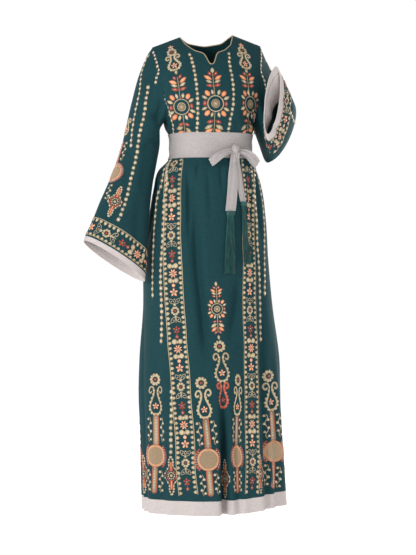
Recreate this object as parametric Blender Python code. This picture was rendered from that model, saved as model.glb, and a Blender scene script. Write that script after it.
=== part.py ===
"""Long embroidered dress with wide sleeves and a tied belt, worn by nobody and held open.

Metres, +Z up, the front faces -Y and the wearer's left side lies at +X.
The origin is the middle of the neck opening at shoulder height.
"""

import math

import bmesh
import bpy
import numpy as np
from mathutils import Vector

# Driving sizes
CLOTH = 0.002
SEAM = 0.0003
UNDERARM = -0.250
NECK_HALF = 0.078
NECK_MIDDLE = (0.002, -0.015, 0.012)
SHOULDER_MIDDLE = 0.0015
HEM_LEVEL = -1.351
HEM_LIFT = 0.017
HEM_LIFT_START = 0.1
HEM_BAND = 0.040
BELT_TOP = -0.283
BELT_BOTTOM = -0.355
BELT_CLOTH = 0.0026
ROUNDNESS = 2.3
CHEST_DOME = (2.2, 0.75)
FOLD_START_SHARE = 0.45
ROW_CROWDING = 1.15

# Mesh density of the cloth walls
FRONT_COLUMNS = 36
BACK_COLUMNS = 24
YOKE_ROWS = 11
SKIRT_ROWS = 21
BLOUSE_ROWS = 2
BELT_ROWS = 2
SLEEVE_ROWS = 15

# Cross-sections of the body of the dress, from the underarm down
BODY_COLUMNS = ("height", "centre", "half_width", "front", "back")
BODY = (
    (-0.250, 0.006, 0.1280, 0.122, 0.100),
    (-0.270, 0.010, 0.1255, 0.118, 0.096),
    (-0.284, 0.0125, 0.1190, 0.105, 0.089),
    (-0.320, 0.0129, 0.1165, 0.100, 0.086),
    (-0.354, 0.0125, 0.1190, 0.104, 0.090),
    (-0.385, 0.0045, 0.1400, 0.114, 0.104),
    (-0.441, 0.0042, 0.1560, 0.121, 0.116),
    (-0.527, 0.0030, 0.1690, 0.128, 0.128),
    (-0.641, 0.0010, 0.1795, 0.134, 0.135),
    (-0.784, 0.0070, 0.1870, 0.141, 0.143),
    (-0.898, 0.0100, 0.1990, 0.149, 0.151),
    (-1.013, 0.0120, 0.2070, 0.157, 0.158),
    (-1.150, 0.0180, 0.2095, 0.163, 0.163),
    (-1.370, 0.0270, 0.2150, 0.170, 0.170),
)

# Shoulder line, carried on across the neck
SHOULDER_LINE_COLUMNS = ("x", "height")
SHOULDER_LINE = (
    (-0.154, -0.036),
    (-0.078, -0.006),
    (0.000, 0.012),
    (0.078, 0.003),
    (0.157, -0.026),
)

# Half width of the chest section above the underarm, past the armhole's edge
CHEST_COLUMNS = ("rise", "half_width", "right_arm", "left_arm")
CHEST = (
    (0.00, 0.1280, -0.1220, 0.1340),
    (0.12, 0.1450, -0.1240, 0.1360),
    (0.30, 0.1600, -0.1290, 0.1395),
    (0.55, 0.1720, -0.1370, 0.1450),
    (0.80, 0.1780, -0.1460, 0.1510),
    (1.00, 0.1800, -0.1540, 0.1570),
)

# Top edge of the front panel, from the right shoulder tip to the left one
FRONT_TOP_COLUMNS = ("x", "height", "segments")
FRONT_TOP = (
    (-0.154, -0.036, 6),
    (-0.078, -0.006, 3),
    (-0.066, -0.032, 3),
    (-0.044, -0.051, 3),
    (-0.017, -0.060, 2),
    (-0.005, -0.092, 2),
    (0.010, -0.092, 2),
    (0.022, -0.057, 3),
    (0.046, -0.048, 3),
    (0.066, -0.030, 3),
    (0.078, 0.003, 6),
    (0.157, -0.026, 0),
)

# Top edge of the back panel, from the right shoulder tip to the left one
BACK_TOP = (
    (-0.154, -0.036, 6),
    (-0.078, -0.006, 3),
    (-0.050, -0.022, 3),
    (0.000, -0.028, 3),
    (0.050, -0.020, 3),
    (0.078, 0.003, 6),
    (0.157, -0.026, 0),
)

# Folds of the skirt: place along the section, measured from the centre front
FOLD_COLUMNS = ("start", "end", "place_top", "place_low", "depth", "left", "right", "fade")
FOLDS = (
    (-0.358, -0.930, -0.062, -0.032, 0.0180, 0.013, 0.015, 0.10),
    (-0.640, -0.900, 0.084, 0.030, 0.0140, 0.014, 0.014, 0.10),
    (-0.800, -1.500, 0.016, 0.002, 0.0540, 0.010, 0.026, 0.00),
    (-0.560, -1.500, 0.130, 0.118, 0.0230, 0.014, 0.012, 0.00),
    (-0.700, -1.500, -0.236, -0.246, 0.0190, 0.014, 0.016, 0.00),
    (-0.420, -1.500, 0.215, 0.232, 0.0140, 0.020, 0.020, 0.00),
    (-0.400, -1.500, 0.300, 0.318, 0.0200, 0.018, 0.020, 0.00),
    (-0.390, -1.500, 0.400, 0.425, 0.0240, 0.020, 0.022, 0.00),
    (-0.380, -1.500, -0.455, -0.485, 0.0200, 0.020, 0.018, 0.00),
    (-0.400, -1.500, -0.350, -0.365, 0.0230, 0.022, 0.018, 0.00),
)

# Sections of the sleeves: the upper, back, lower and front points of each, from the armhole
SLEEVE_COLUMNS = ("top", "back", "low", "front")
SLEEVE_RIGHT = (
    ((-0.1540, 0.000, -0.036), (-0.138, 0.058, -0.143), (-0.1220, 0.000, -0.250), (-0.138, -0.058, -0.143)),
    ((-0.1800, 0.000, -0.074), (-0.153, 0.064, -0.168), (-0.1262, 0.000, -0.262), (-0.153, -0.064, -0.168)),
    ((-0.2014, 0.000, -0.130), (-0.165, 0.066, -0.205), (-0.1280, 0.000, -0.280), (-0.165, -0.066, -0.205)),
    ((-0.2157, 0.000, -0.198), (-0.173, 0.066, -0.250), (-0.1310, 0.000, -0.303), (-0.173, -0.066, -0.250)),
    ((-0.2316, -0.002, -0.272), (-0.184, 0.062, -0.306), (-0.1370, -0.002, -0.334), (-0.184, -0.066, -0.300)),
    ((-0.2508, -0.010, -0.344), (-0.198, 0.050, -0.366), (-0.1460, -0.010, -0.377), (-0.198, -0.070, -0.354)),
    ((-0.2803, -0.024, -0.418), (-0.219, 0.032, -0.435), (-0.1580, -0.026, -0.434), (-0.219, -0.080, -0.417)),
    ((-0.3080, -0.038, -0.478), (-0.238, 0.011, -0.508), (-0.1690, -0.044, -0.515), (-0.238, -0.091, -0.485)),
    ((-0.3290, -0.050, -0.528), (-0.253, -0.009, -0.574), (-0.1768, -0.062, -0.596), (-0.253, -0.103, -0.550)),
    ((-0.3491, -0.060, -0.570), (-0.266, -0.024, -0.633), (-0.1825, -0.074, -0.672), (-0.266, -0.110, -0.609)),
    ((-0.3564, -0.063, -0.589), (-0.271, -0.029, -0.657), (-0.1850, -0.078, -0.701), (-0.271, -0.112, -0.633)),
)
SLEEVE_LEFT = (
    ((0.1570, 0.000, -0.026), (0.1455, 0.058, -0.138), (0.1340, 0.000, -0.250), (0.1455, -0.058, -0.138)),
    ((0.1920, 0.008, -0.068), (0.1760, 0.068, -0.185), (0.1425, -0.004, -0.310), (0.1610, -0.056, -0.176)),
    ((0.2180, 0.014, -0.112), (0.2050, 0.072, -0.222), (0.1490, -0.010, -0.336), (0.1700, -0.053, -0.202)),
    ((0.2330, 0.010, -0.154), (0.2320, 0.060, -0.255), (0.1600, -0.018, -0.352), (0.1740, -0.054, -0.222)),
    ((0.2370, -0.010, -0.185), (0.2500, 0.028, -0.265), (0.1725, -0.028, -0.358), (0.1740, -0.060, -0.236)),
    ((0.2320, -0.038, -0.193), (0.2535, -0.014, -0.258), (0.1800, -0.046, -0.360), (0.1700, -0.070, -0.244)),
    ((0.2220, -0.064, -0.180), (0.2450, -0.048, -0.250), (0.1820, -0.066, -0.355), (0.1640, -0.082, -0.245)),
    ((0.2090, -0.088, -0.154), (0.2290, -0.076, -0.236), (0.1765, -0.088, -0.340), (0.1575, -0.095, -0.239)),
    ((0.1935, -0.108, -0.124), (0.2095, -0.100, -0.216), (0.1670, -0.108, -0.316), (0.1510, -0.111, -0.222)),
    ((0.1791, -0.125, -0.0976), (0.1905, -0.121, -0.193), (0.1563, -0.125, -0.2887), (0.1457, -0.130, -0.193)),
)
CUFF_SHARE = 0.075
CUFF_GAP_SHARE = 0.0015
SETTLE_SHARE = {"right": 0.35, "left": 0.60}

# Belt bow
KNOT = (0.0665, -0.1078, -0.3300)
KNOT_RADII = (0.0135, 0.0100, 0.0125)
KNOT_SEGMENTS = 14
KNOT_RINGS = 9
BOW_CLOTH = 0.0018
LOOP_COLUMNS = ("name", "tip_x", "tip_y", "tip_z", "knot_width", "tip_width", "fullness")
LOOPS = (
    ("bow_loop_left", 0.132, -0.090, -0.372, 0.011, 0.030, 0.0048),
    ("bow_loop_right", -0.006, -0.127, -0.370, 0.011, 0.028, 0.0046),
)
LOOP_SEGMENTS = 18
LOOP_GAP = 0.0005
LOOP_TURN_POWER = 0.6
LOOP_BELLY_POWERS = (6, 0.7)
LOOP_LINES = (-0.5, -0.17, 0.17, 0.5)
BELT_STEP = (0.012, 0.006)
TAIL_STANDOFF = 0.0040
TAIL_ROWS = 12
TAIL_HANG = 6.0
TAIL_SPREAD = 1.6
TAIL_COLUMNS = ("name", "start_x", "end_x", "start_z", "end_z", "top_width", "low_width")
TAILS = (
    ("belt_tail_1", 0.0622, 0.0490, -0.3428, -0.5050, 0.007, 0.030),
    ("belt_tail_2", 0.0708, 0.0875, -0.3428, -0.4780, 0.007, 0.021),
)
TASSEL_COLUMNS = ("name", "x", "top", "bottom", "top_width", "low_width", "drift", "across")
TASSELS = (
    ("tassel_1", 0.0490, -0.5050, -0.6850, 0.022, 0.033, -0.004, 11),
    ("tassel_2", 0.0875, -0.4780, -0.6580, 0.014, 0.021, 0.010, 8),
)
STRAND_LAYERS = 2
LAYER_GAP = 0.0022
STRAND_RADIUS = 0.0006
STRAND_STEPS = 3
STRAND_STANDOFF = 0.0060
HEAD_HEIGHT = 0.010
HEAD_DEPTH = 0.0050
ROOT_DEPTH = 0.002
ROOT_SPREAD = 0.86
STRAND_SHORTEST = 0.97
STRAND_STAGGER = 0.5
PIPING_RADIUS = 0.0016

COLOURS = {
    "crepe": (0.017, 0.070, 0.080, 1.0),
    "facing": (0.640, 0.585, 0.545, 1.0),
    "piping": (0.560, 0.440, 0.280, 1.0),
    "thread": (0.010, 0.060, 0.055, 1.0),
}


def start_scene():
    """Removes what the scene holds and gives a new collection for the parts."""
    for thing in list(bpy.data.objects):
        bpy.data.objects.remove(thing, do_unlink=True)
    parts = bpy.data.collections.new("embroidered_dress")
    bpy.context.scene.collection.children.link(parts)
    return parts


def cloth_material(name, colour, roughness=0.75):
    """A plain matt cloth of one colour."""
    material = bpy.data.materials.new(name)
    material.use_nodes = True
    shader = material.node_tree.nodes["Principled BSDF"]
    shader.inputs["Base Color"].default_value = COLOURS[colour]
    shader.inputs["Roughness"].default_value = roughness
    shader.inputs["Metallic"].default_value = 0.0
    return material


def smooth_read(rows, columns, key, name, at):
    """Reads a column of a table along a key column, on a smooth curve through its rows."""
    keys = np.array([row[columns.index(key)] for row in rows], dtype=float)
    values = np.array([row[columns.index(name)] for row in rows], dtype=float)
    if keys[0] > keys[-1]:
        keys = keys[::-1]
        values = values[::-1]
    slopes = np.gradient(values, keys)
    at = np.clip(np.asarray(at, dtype=float), keys[0], keys[-1])
    cell = np.clip(np.searchsorted(keys, at) - 1, 0, len(keys) - 2)
    step = keys[cell + 1] - keys[cell]
    t = (at - keys[cell]) / step
    rise = values[cell] * (2 * t**3 - 3 * t**2 + 1) + values[cell + 1] * (3 * t**2 - 2 * t**3)
    turn = slopes[cell] * (t**3 - 2 * t**2 + t) + slopes[cell + 1] * (t**3 - t**2)
    return rise + turn * step


def body(name, height):
    """One measure of the dress's section at a height."""
    return smooth_read(BODY, BODY_COLUMNS, "height", name, height)


def ease(value):
    """Goes from 0 to 1 with no corner at either end."""
    value = np.clip(value, 0.0, 1.0)
    return value * value * (3 - 2 * value)


def fold_depth(place, height):
    """How far the folds push the cloth inwards at a place on the section."""
    total = np.zeros_like(place)
    for start, end, top, low, depth, left, right, fade in FOLDS:
        share = np.clip((start - height) / (start - end), 0.0, 1.0)
        centre = top + (low - top) * share
        reach = start - end
        grow = ease((start - height) / (FOLD_START_SHARE * reach))
        if fade:
            grow = grow * ease((height - end) / fade)
        width = np.where(place < centre, left, right)
        total = total + depth * grow * np.exp(-(((place - centre) / width) ** 2))
    return total


def hem_height(angle):
    """The hem hangs level, but for a lift at the left side of the front."""
    return HEM_LEVEL + HEM_LIFT * ease((np.sin(angle) + HEM_LIFT_START) / (1 + HEM_LIFT_START))


def section(height_at, samples=1441):
    """A full section of the skirt as dense points, from centre back round by the right side.

    height_at gives the height for each angle. The angle is 0 at centre front and grows
    towards the left side.
    """
    angle = np.linspace(-math.pi, math.pi, samples)
    height = height_at(angle)
    half = body("half_width", height)
    deep = np.where(np.abs(angle) < math.pi / 2, body("front", height), body("back", height))
    power = 2 / ROUNDNESS
    x = body("centre", height) + half * np.sign(np.sin(angle)) * np.abs(np.sin(angle)) ** power
    y = -deep * np.sign(np.cos(angle)) * np.abs(np.cos(angle)) ** power
    points = np.stack([x, y, height], axis=1)
    steps = np.linalg.norm(np.diff(points[:, :2], axis=0), axis=1)
    place = np.concatenate([[0.0], np.cumsum(steps)])
    place = place - place[samples // 2]
    tangent = np.gradient(points[:, :2], place, axis=0)
    tangent = tangent / np.linalg.norm(tangent, axis=1, keepdims=True)
    outward = np.stack([tangent[:, 1], -tangent[:, 0]], axis=1)
    points[:, :2] -= outward * fold_depth(place, height)[:, None]
    return angle, points


def spread(points, first, last, count):
    """Even points along a dense line between two of its indices."""
    stretch = points[first : last + 1]
    run = np.concatenate([[0.0], np.cumsum(np.linalg.norm(np.diff(stretch, axis=0), axis=1))])
    wanted = np.linspace(0.0, run[-1], count + 1)
    return np.stack([np.interp(wanted, run, stretch[:, k]) for k in range(3)], axis=1)


def ring_row(height_at):
    """Front and back columns of one row, with the side seams left open by the seam gap."""
    angle, points = section(height_at)
    count = len(angle) - 1
    quarter = count // 4
    front = spread(points, quarter, 3 * quarter, FRONT_COLUMNS)
    behind = np.concatenate([points[3 * quarter :], points[1 : quarter + 1]])
    back = spread(behind, 0, len(behind) - 1, BACK_COLUMNS)
    for row in (front, back):
        for edge, inner in ((0, 1), (-1, -2)):
            along = row[inner] - row[edge]
            row[edge] = row[edge] + along / np.linalg.norm(along) * SEAM / 2
    return front, back


def skirt_rows():
    """Every row below the underarm, top to bottom, and the index of the hem's seam row."""
    rows = []
    for k in range(BLOUSE_ROWS + 1):
        level = UNDERARM + (BELT_TOP - UNDERARM) * k / BLOUSE_ROWS
        rows.append(ring_row(lambda angle, z=level: np.full_like(angle, z)))
    for k in range(1, BELT_ROWS + 1):
        level = BELT_TOP + (BELT_BOTTOM - BELT_TOP) * k / BELT_ROWS
        rows.append(ring_row(lambda angle, z=level: np.full_like(angle, z)))
    for k in range(1, SKIRT_ROWS + 1):
        share = (k / SKIRT_ROWS) ** ROW_CROWDING

        def level_at(angle, share=share):
            seam = hem_height(angle) + HEM_BAND
            return BELT_BOTTOM + (seam - BELT_BOTTOM) * share

        rows.append(ring_row(level_at))
    return rows


def band_rows():
    """The three rows of the hem band, from its seam to the hem's edge."""
    rows = []
    for drop in (SEAM, HEM_BAND / 2, HEM_BAND):
        rows.append(ring_row(lambda angle, d=drop: hem_height(angle) + HEM_BAND - d))
    return rows


def shoulder_height(x):
    """Height of the shoulder line, carried on across the neck."""
    across, heights = zip(*SHOULDER_LINE)
    return np.interp(x, across, heights)


def chest_depth(x, height, deep):
    """Distance of the chest or back from the shoulder plane, above the underarm."""
    rise = (height - UNDERARM) / (shoulder_height(x) - UNDERARM)
    rise = np.clip(rise, 0.0, 1.0)
    half = smooth_read(CHEST, CHEST_COLUMNS, "rise", "half_width", rise)
    centre = body("centre", UNDERARM) * (1 - rise) + SHOULDER_MIDDLE * rise
    across = np.clip(np.abs(x - centre) / half, 0.0, 1.0)
    shape = (1 - across**ROUNDNESS) ** (1 / ROUNDNESS)
    return deep * shape * (1 - rise ** CHEST_DOME[0]) ** CHEST_DOME[1]


def top_edge(rows, count):
    """Top edge points of a panel, each table stretch cut into a share of its columns."""
    total = sum(row[2] for row in rows)
    points = [rows[0][:2]]
    for k in range(len(rows) - 1):
        x0, z0, pieces = rows[k]
        x1, z1 = rows[k + 1][:2]
        pieces = max(1, round(pieces * count / total))
        for n in range(1, pieces + 1):
            points.append((x0 + (x1 - x0) * n / pieces, z0 + (z1 - z0) * n / pieces))
    return np.array(points)


def yoke_rows(rows, count, deep, facing, first_row):
    """Rows of a panel above the underarm, from the first full ring up to its top edge."""
    edge = top_edge(rows, count)
    run = np.linspace(0.0, 1.0, count + 1)
    top_x = np.interp(run, np.linspace(0.0, 1.0, len(edge)), edge[:, 0])
    top_z = np.interp(run, np.linspace(0.0, 1.0, len(edge)), edge[:, 1])
    top_share = (top_x - top_x[0]) / (top_x[-1] - top_x[0])
    low_share = (first_row[:, 0] - first_row[0, 0]) / (first_row[-1, 0] - first_row[0, 0])
    grid = []
    for k in range(1, YOKE_ROWS + 1):
        t = k / YOKE_ROWS
        right = smooth_read(CHEST, CHEST_COLUMNS, "rise", "right_arm", t)
        left = smooth_read(CHEST, CHEST_COLUMNS, "rise", "left_arm", t)
        share = low_share * (1 - t) + top_share * t
        x = right + share * (left - right)
        z = UNDERARM + t * (top_z - UNDERARM)
        y = facing * chest_depth(x, z, deep)
        grid.append(np.stack([x, y, z], axis=1))
    return grid


def normals(grid, closed=False):
    """Outward directions at each point of a grid of rows, by its neighbours."""
    if closed:
        along = np.roll(grid, -1, axis=1) - np.roll(grid, 1, axis=1)
    else:
        along = np.gradient(grid, axis=1)
    down = np.gradient(grid, axis=0)
    out = np.cross(down, along)
    return out / np.linalg.norm(out, axis=2, keepdims=True)


def level_out(out, axis_column):
    """Turns edge directions at a side seam to lie across the seam's own plane."""
    edge = out[:, axis_column].copy()
    edge[:, 1] = 0.0
    out[:, axis_column] = edge / np.linalg.norm(edge, axis=1, keepdims=True)


def wall(name, outer, inner, material, parts, closed=False):
    """A closed wall between two grids of the same rows and columns, split along one diagonal."""
    rows, columns = outer.shape[:2]
    mesh = bmesh.new()
    layers = []
    for grid in (outer, inner):
        layers.append([[mesh.verts.new(Vector(point)) for point in row] for row in grid])
    last = columns if closed else columns - 1
    for j in range(rows - 1):
        for i in range(last):
            n = (i + 1) % columns
            a, b, c, d = layers[0][j][i], layers[0][j + 1][i], layers[0][j + 1][n], layers[0][j][n]
            mesh.faces.new((a, b, c))
            mesh.faces.new((a, c, d))
            a, b, c, d = layers[1][j][i], layers[1][j + 1][i], layers[1][j + 1][n], layers[1][j][n]
            mesh.faces.new((c, b, a))
            mesh.faces.new((d, c, a))
    edges = [[(j, i) for i in range(columns)] for j in (0, -1)]
    if closed:
        edges = [edge + edge[:1] for edge in edges]
    else:
        edges += [[(j, i) for j in range(rows)] for i in (0, -1)]
    for edge in edges:
        for (j0, i0), (j1, i1) in zip(edge, edge[1:]):
            mesh.faces.new((layers[0][j0][i0], layers[0][j1][i1], layers[1][j1][i1]))
            mesh.faces.new((layers[0][j0][i0], layers[1][j1][i1], layers[1][j0][i0]))
    return finish_mesh(name, mesh, material, parts)


def finish_mesh(name, mesh, material, parts):
    """Turns a bmesh into a smooth-shaded object of the collection."""
    bmesh.ops.recalc_face_normals(mesh, faces=mesh.faces)
    data = bpy.data.meshes.new(name)
    mesh.to_mesh(data)
    mesh.free()
    data.materials.append(material)
    data.shade_smooth()
    data.set_sharp_from_angle(angle=math.radians(50))
    thing = bpy.data.objects.new(name, data)
    parts.objects.link(thing)
    return thing


def make_body(parts, crepe, facing, belt_cloth):
    """Front, back, hem bands and belt, and the two armholes' edges for the sleeves."""
    rows = skirt_rows()
    front_low = np.stack([row[0] for row in rows])
    back_low = np.stack([row[1] for row in rows])
    front_top = yoke_rows(FRONT_TOP, FRONT_COLUMNS, body("front", UNDERARM), -1.0, front_low[0])
    back_first = back_low[0][::-1]
    back_top = yoke_rows(BACK_TOP, BACK_COLUMNS, body("back", UNDERARM), 1.0, back_first)
    front = np.concatenate([np.stack(front_top[::-1]), front_low])
    back = np.concatenate([np.stack([row[::-1] for row in back_top[::-1]]), back_low])
    bands = band_rows()
    front_out = normals(np.concatenate([front, np.stack([row[0] for row in bands])[1:]]))
    back_out = normals(np.concatenate([back, np.stack([row[1] for row in bands])[1:]]))
    for out in (front_out, back_out):
        level_out(out, 0)
        level_out(out, -1)
    count = len(front)
    for grid, out in ((front, front_out), (back, back_out)):
        ridge = (np.abs(grid[0][:, 1]) < 1e-6)
        grid[0][ridge, 1] += math.copysign(SEAM / 2, grid[3][len(grid[3]) // 2, 1])
        out[0][ridge] = (0.0, 0.0, 1.0)
    wall("front_panel", front, front - front_out[:count] * CLOTH, crepe, parts)
    wall("back_panel", back, back - back_out[:count] * CLOTH, crepe, parts)
    for name, side, out in (("hem_band_front", 0, front_out), ("hem_band_back", 1, back_out)):
        grid = np.stack([row[side] for row in bands])
        wall(name, grid, grid - out[count - 1 :] * CLOTH, facing, parts)
    make_belt(front, back, front_out, back_out, belt_cloth, parts)
    return front, back, front_out, back_out


def make_belt(front, back, front_out, back_out, material, parts):
    """The belt lies on the panels' own points, moved out by the seam gap."""
    first = YOKE_ROWS + BLOUSE_ROWS
    last = first + BELT_ROWS
    grid = np.concatenate([front[first : last + 1], back[first : last + 1]], axis=1)
    out = np.concatenate([front_out[first : last + 1], back_out[first : last + 1]], axis=1)
    inner = grid + out * SEAM
    outer = grid + out * (SEAM + BELT_CLOTH)
    keep = [k for k in range(grid.shape[1]) if k not in (FRONT_COLUMNS + 1, grid.shape[1] - 1)]
    wall("belt", outer[:, keep], inner[:, keep], material, parts, closed=True)


def armhole(front, back, side):
    """The armhole's edge as a ring: shoulder tip, down the back, underarm, up the front."""
    front_column = 0 if side < 0 else -1
    back_column = -1 if side < 0 else 0
    down = back[: YOKE_ROWS + 1, back_column]
    up = front[: YOKE_ROWS + 1, front_column][::-1]
    ring = np.concatenate([down[:-1], up[:-1]])
    ring[0, 1] = 0.0
    ring[YOKE_ROWS, 1] = 0.0
    return ring


def sleeve_point(table, share, column):
    """One of a sleeve's four edge lines, at a share of its length."""
    at = share * (len(table) - 1)
    place = []
    for axis in range(3):
        rows = [(step, row[SLEEVE_COLUMNS.index(column)][axis]) for step, row in enumerate(table)]
        place.append(float(smooth_read(rows, ("step", "place"), "step", "place", at)))
    return np.array(place)


def sleeve_grid(table, ring, rows, first, last, settle):
    """Rings of a sleeve between two shares of its length, blended out of the armhole.

    settle is the share of the length by which nothing of the armhole's own shape is left.
    """
    count = len(ring)
    turn = np.linspace(0.0, 2 * math.pi, count, endpoint=False)
    up = np.cos(turn)[:, None]
    aside = np.sin(turn)[:, None]
    grid = []
    for k in range(rows + 1):
        share = first + (last - first) * k / rows
        top, back, low, front = (sleeve_point(table, share, name) for name in SLEEVE_COLUMNS)
        centre = (top + low) / 2
        shape = centre + up * (top - centre)
        shape = shape + np.where(aside > 0, aside * (back - centre), -aside * (front - centre))
        moved = ring + (centre - (ring[0] + ring[count // 2]) / 2)
        weight = float(ease(share / settle))
        grid.append(moved * (1 - weight) + shape * weight)
    return np.stack(grid)


def make_sleeve(name, table, ring, side, material, facing, parts):
    """One sleeve and its cuff band, both open tubes that share their seam's points."""
    seam = 1 - CUFF_SHARE
    settle = SETTLE_SHARE[name]
    grid = sleeve_grid(table, ring, SLEEVE_ROWS, 0.0, seam, settle)
    cuff = sleeve_grid(table, ring, 2, seam + CUFF_GAP_SHARE, 1.0, settle)
    every = np.concatenate([grid, cuff[1:]])
    out = normals(every, closed=True) * side
    out[0, :, 0] = 0.0
    out[0] = out[0] / np.linalg.norm(out[0], axis=1, keepdims=True)
    grid[0, :, 0] += side * SEAM
    count = len(grid)
    wall("sleeve_" + name, grid, grid - out[:count] * CLOTH, material, parts, closed=True)
    wall("cuff_band_" + name, cuff, cuff - out[count - 1 :] * CLOTH, facing, parts, closed=True)


def front_face(x, height):
    """Outermost y of the cloth at the front for a place across it, with the belt on it."""
    half = body("half_width", height)
    across = np.clip(np.abs(x - body("centre", height)) / half, 0.0, 1.0)
    deep = body("front", height) * (1 - across**ROUNDNESS) ** (1 / ROUNDNESS)
    on_belt = ease((height - BELT_BOTTOM + BELT_STEP[0]) / BELT_STEP[1])
    return -(deep + (BELT_CLOTH + SEAM) * on_belt)


def make_piping(front, back, front_out, back_out, material, parts):
    """A thin round binding that follows the neck and its slit, just off the cloth's edge."""
    def neck(grid):
        return [k for k in range(grid.shape[1]) if abs(grid[0, k, 0]) < NECK_HALF + 0.001]

    mids = []
    out = []
    for grid, outward, trim in ((front, front_out, 0), (back, back_out, 1)):
        for k in neck(grid)[trim : len(neck(grid)) - trim]:
            mids.append(grid[0, k] - outward[0, k] * CLOTH / 2)
            out.append(outward[0, k])
    mids = np.array(mids)
    out = np.array(out)
    ahead = np.roll(mids, -1, axis=0) - mids
    ahead = ahead / np.linalg.norm(ahead, axis=1, keepdims=True)
    behind = np.roll(ahead, 1, axis=0)
    tangent = ahead + behind
    tangent = tangent / np.linalg.norm(tangent, axis=1, keepdims=True)
    aside = np.cross(tangent, out)
    aside = aside / np.linalg.norm(aside, axis=1, keepdims=True)
    aside = aside * np.sign(np.sum(aside * (np.array(NECK_MIDDLE) - mids), axis=1))[:, None]
    half_turn = np.sqrt((1 + np.sum(ahead * behind, axis=1)) / 2)
    reach = (PIPING_RADIUS + SEAM) / np.clip(half_turn, 0.6, 1.0)
    path = mids + aside * reach[:, None]
    curve = bpy.data.curves.new("neck_piping", "CURVE")
    curve.dimensions = "3D"
    curve.bevel_depth = PIPING_RADIUS
    curve.bevel_resolution = 1
    curve.materials.append(material)
    spline = curve.splines.new("POLY")
    spline.points.add(len(path) - 1)
    for point, place in zip(spline.points, path):
        point.co = (*place, 1.0)
    spline.use_cyclic_u = True
    parts.objects.link(bpy.data.objects.new("neck_piping", curve))


def make_knot(material, parts):
    """The belt's knot, a rounded lump in front of the belt."""
    mesh = bmesh.new()
    bmesh.ops.create_uvsphere(mesh, u_segments=KNOT_SEGMENTS, v_segments=KNOT_RINGS, radius=1.0)
    for vert in mesh.verts:
        vert.co = Vector([c * r + k for c, r, k in zip(vert.co, KNOT_RADII, KNOT)])
    finish_mesh("belt_knot", mesh, material, parts)


def make_loop(row, material, parts):
    """One loop of the bow: a strip that leaves the knot, turns at its tip and comes back."""
    name, tip_x, tip_y, tip_z, knot_width, tip_width, fullness = row
    knot = np.array(KNOT)
    line = np.array([tip_x, tip_y, tip_z]) - knot
    length = np.linalg.norm(line)
    line = line / length
    toward = np.cross(line, (0.0, 1.0, 0.0))
    toward = toward / np.linalg.norm(toward)
    thick = np.cross(toward, line)
    start = 1 / np.linalg.norm(line / np.array(KNOT_RADII)) + 2 * SEAM
    turn = np.linspace(0.0, math.pi, LOOP_SEGMENTS + 1)
    share = np.sin(turn) ** LOOP_TURN_POWER
    belly = (share * (1 - share ** LOOP_BELLY_POWERS[0])) ** LOOP_BELLY_POWERS[1]
    offset = np.cos(turn) * (LOOP_GAP + fullness * belly)
    path = knot + np.outer(start + (length - start) * share, line) + np.outer(offset, thick)
    ahead = np.gradient(path, axis=0)
    outward = np.cross(ahead, toward)
    outward = outward / np.linalg.norm(outward, axis=1, keepdims=True)
    if np.dot(outward[LOOP_SEGMENTS // 2], line) < 0:
        outward = -outward
    width = knot_width + (tip_width - knot_width) * share
    inner = np.stack([path + np.outer(width * side, toward) for side in LOOP_LINES])
    wall(name, inner + outward * BOW_CLOTH, inner, material, parts)


def make_tail(row, material, parts):
    """A hanging end of the belt, which lies just in front of the skirt."""
    name, start_x, end_x, start_z, end_z, top_width, low_width = row
    share = np.linspace(0.0, 1.0, TAIL_ROWS + 1)
    across = np.linspace(-0.5, 0.5, 4)
    grid = np.zeros((len(share), len(across), 3))
    for j, t in enumerate(share):
        spread_out = float(ease(t * TAIL_SPREAD))
        width = top_width + (low_width - top_width) * spread_out
        x = start_x + (end_x - start_x) * spread_out + across * width
        z = start_z + (end_z - start_z) * t
        hung = float(ease(t * TAIL_HANG))
        grid[j, :, 0] = x
        grid[j, :, 1] = KNOT[1] * (1 - hung) + (front_face(x, z) - TAIL_STANDOFF) * hung
        grid[j, :, 2] = z
    wall(name, grid - np.array([0.0, BOW_CLOTH, 0.0]), grid, material, parts)
    return grid[-1, :, 1].min() - BOW_CLOTH / 2


def strand_mesh(row, y_top):
    """All strands of a tassel as three-sided tapering threads that stand apart."""
    x, top, bottom, top_width, low_width, drift, across = row[1:]
    mesh = bmesh.new()
    for layer in range(STRAND_LAYERS):
        for k in range(across):
            share = (k + 0.5) / across - 0.5
            stagger = (layer - 0.5) * STRAND_STAGGER / across
            length = 1 - (1 - STRAND_SHORTEST) * ((7 * k + 3 * layer) % 5) / 4
            rings = []
            for step in range(STRAND_STEPS + 1):
                t = step / STRAND_STEPS
                z = top - HEAD_HEIGHT + ROOT_DEPTH + (bottom - top + HEAD_HEIGHT) * t * length
                root_width = top_width * ROOT_SPREAD
                width = root_width + (low_width - root_width) * t
                px = x + drift * t + (share + stagger) * width
                lying = float(front_face(np.array(px), z)) - STRAND_STANDOFF
                py = min(lying, y_top) + (layer - 0.5) * LAYER_GAP
                ring = []
                for corner in range(3):
                    turn = 2 * math.pi * corner / 3 + math.pi / 2
                    ring.append(mesh.verts.new((
                        px + STRAND_RADIUS * math.cos(turn),
                        py + STRAND_RADIUS * math.sin(turn),
                        z,
                    )))
                rings.append(ring)
            for above, below in zip(rings, rings[1:]):
                for corner in range(3):
                    n = (corner + 1) % 3
                    mesh.faces.new((above[corner], above[n], below[n]))
                    mesh.faces.new((above[corner], below[n], below[corner]))
            mesh.faces.new(rings[0][::-1])
            mesh.faces.new(rings[-1])
    return mesh


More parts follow.
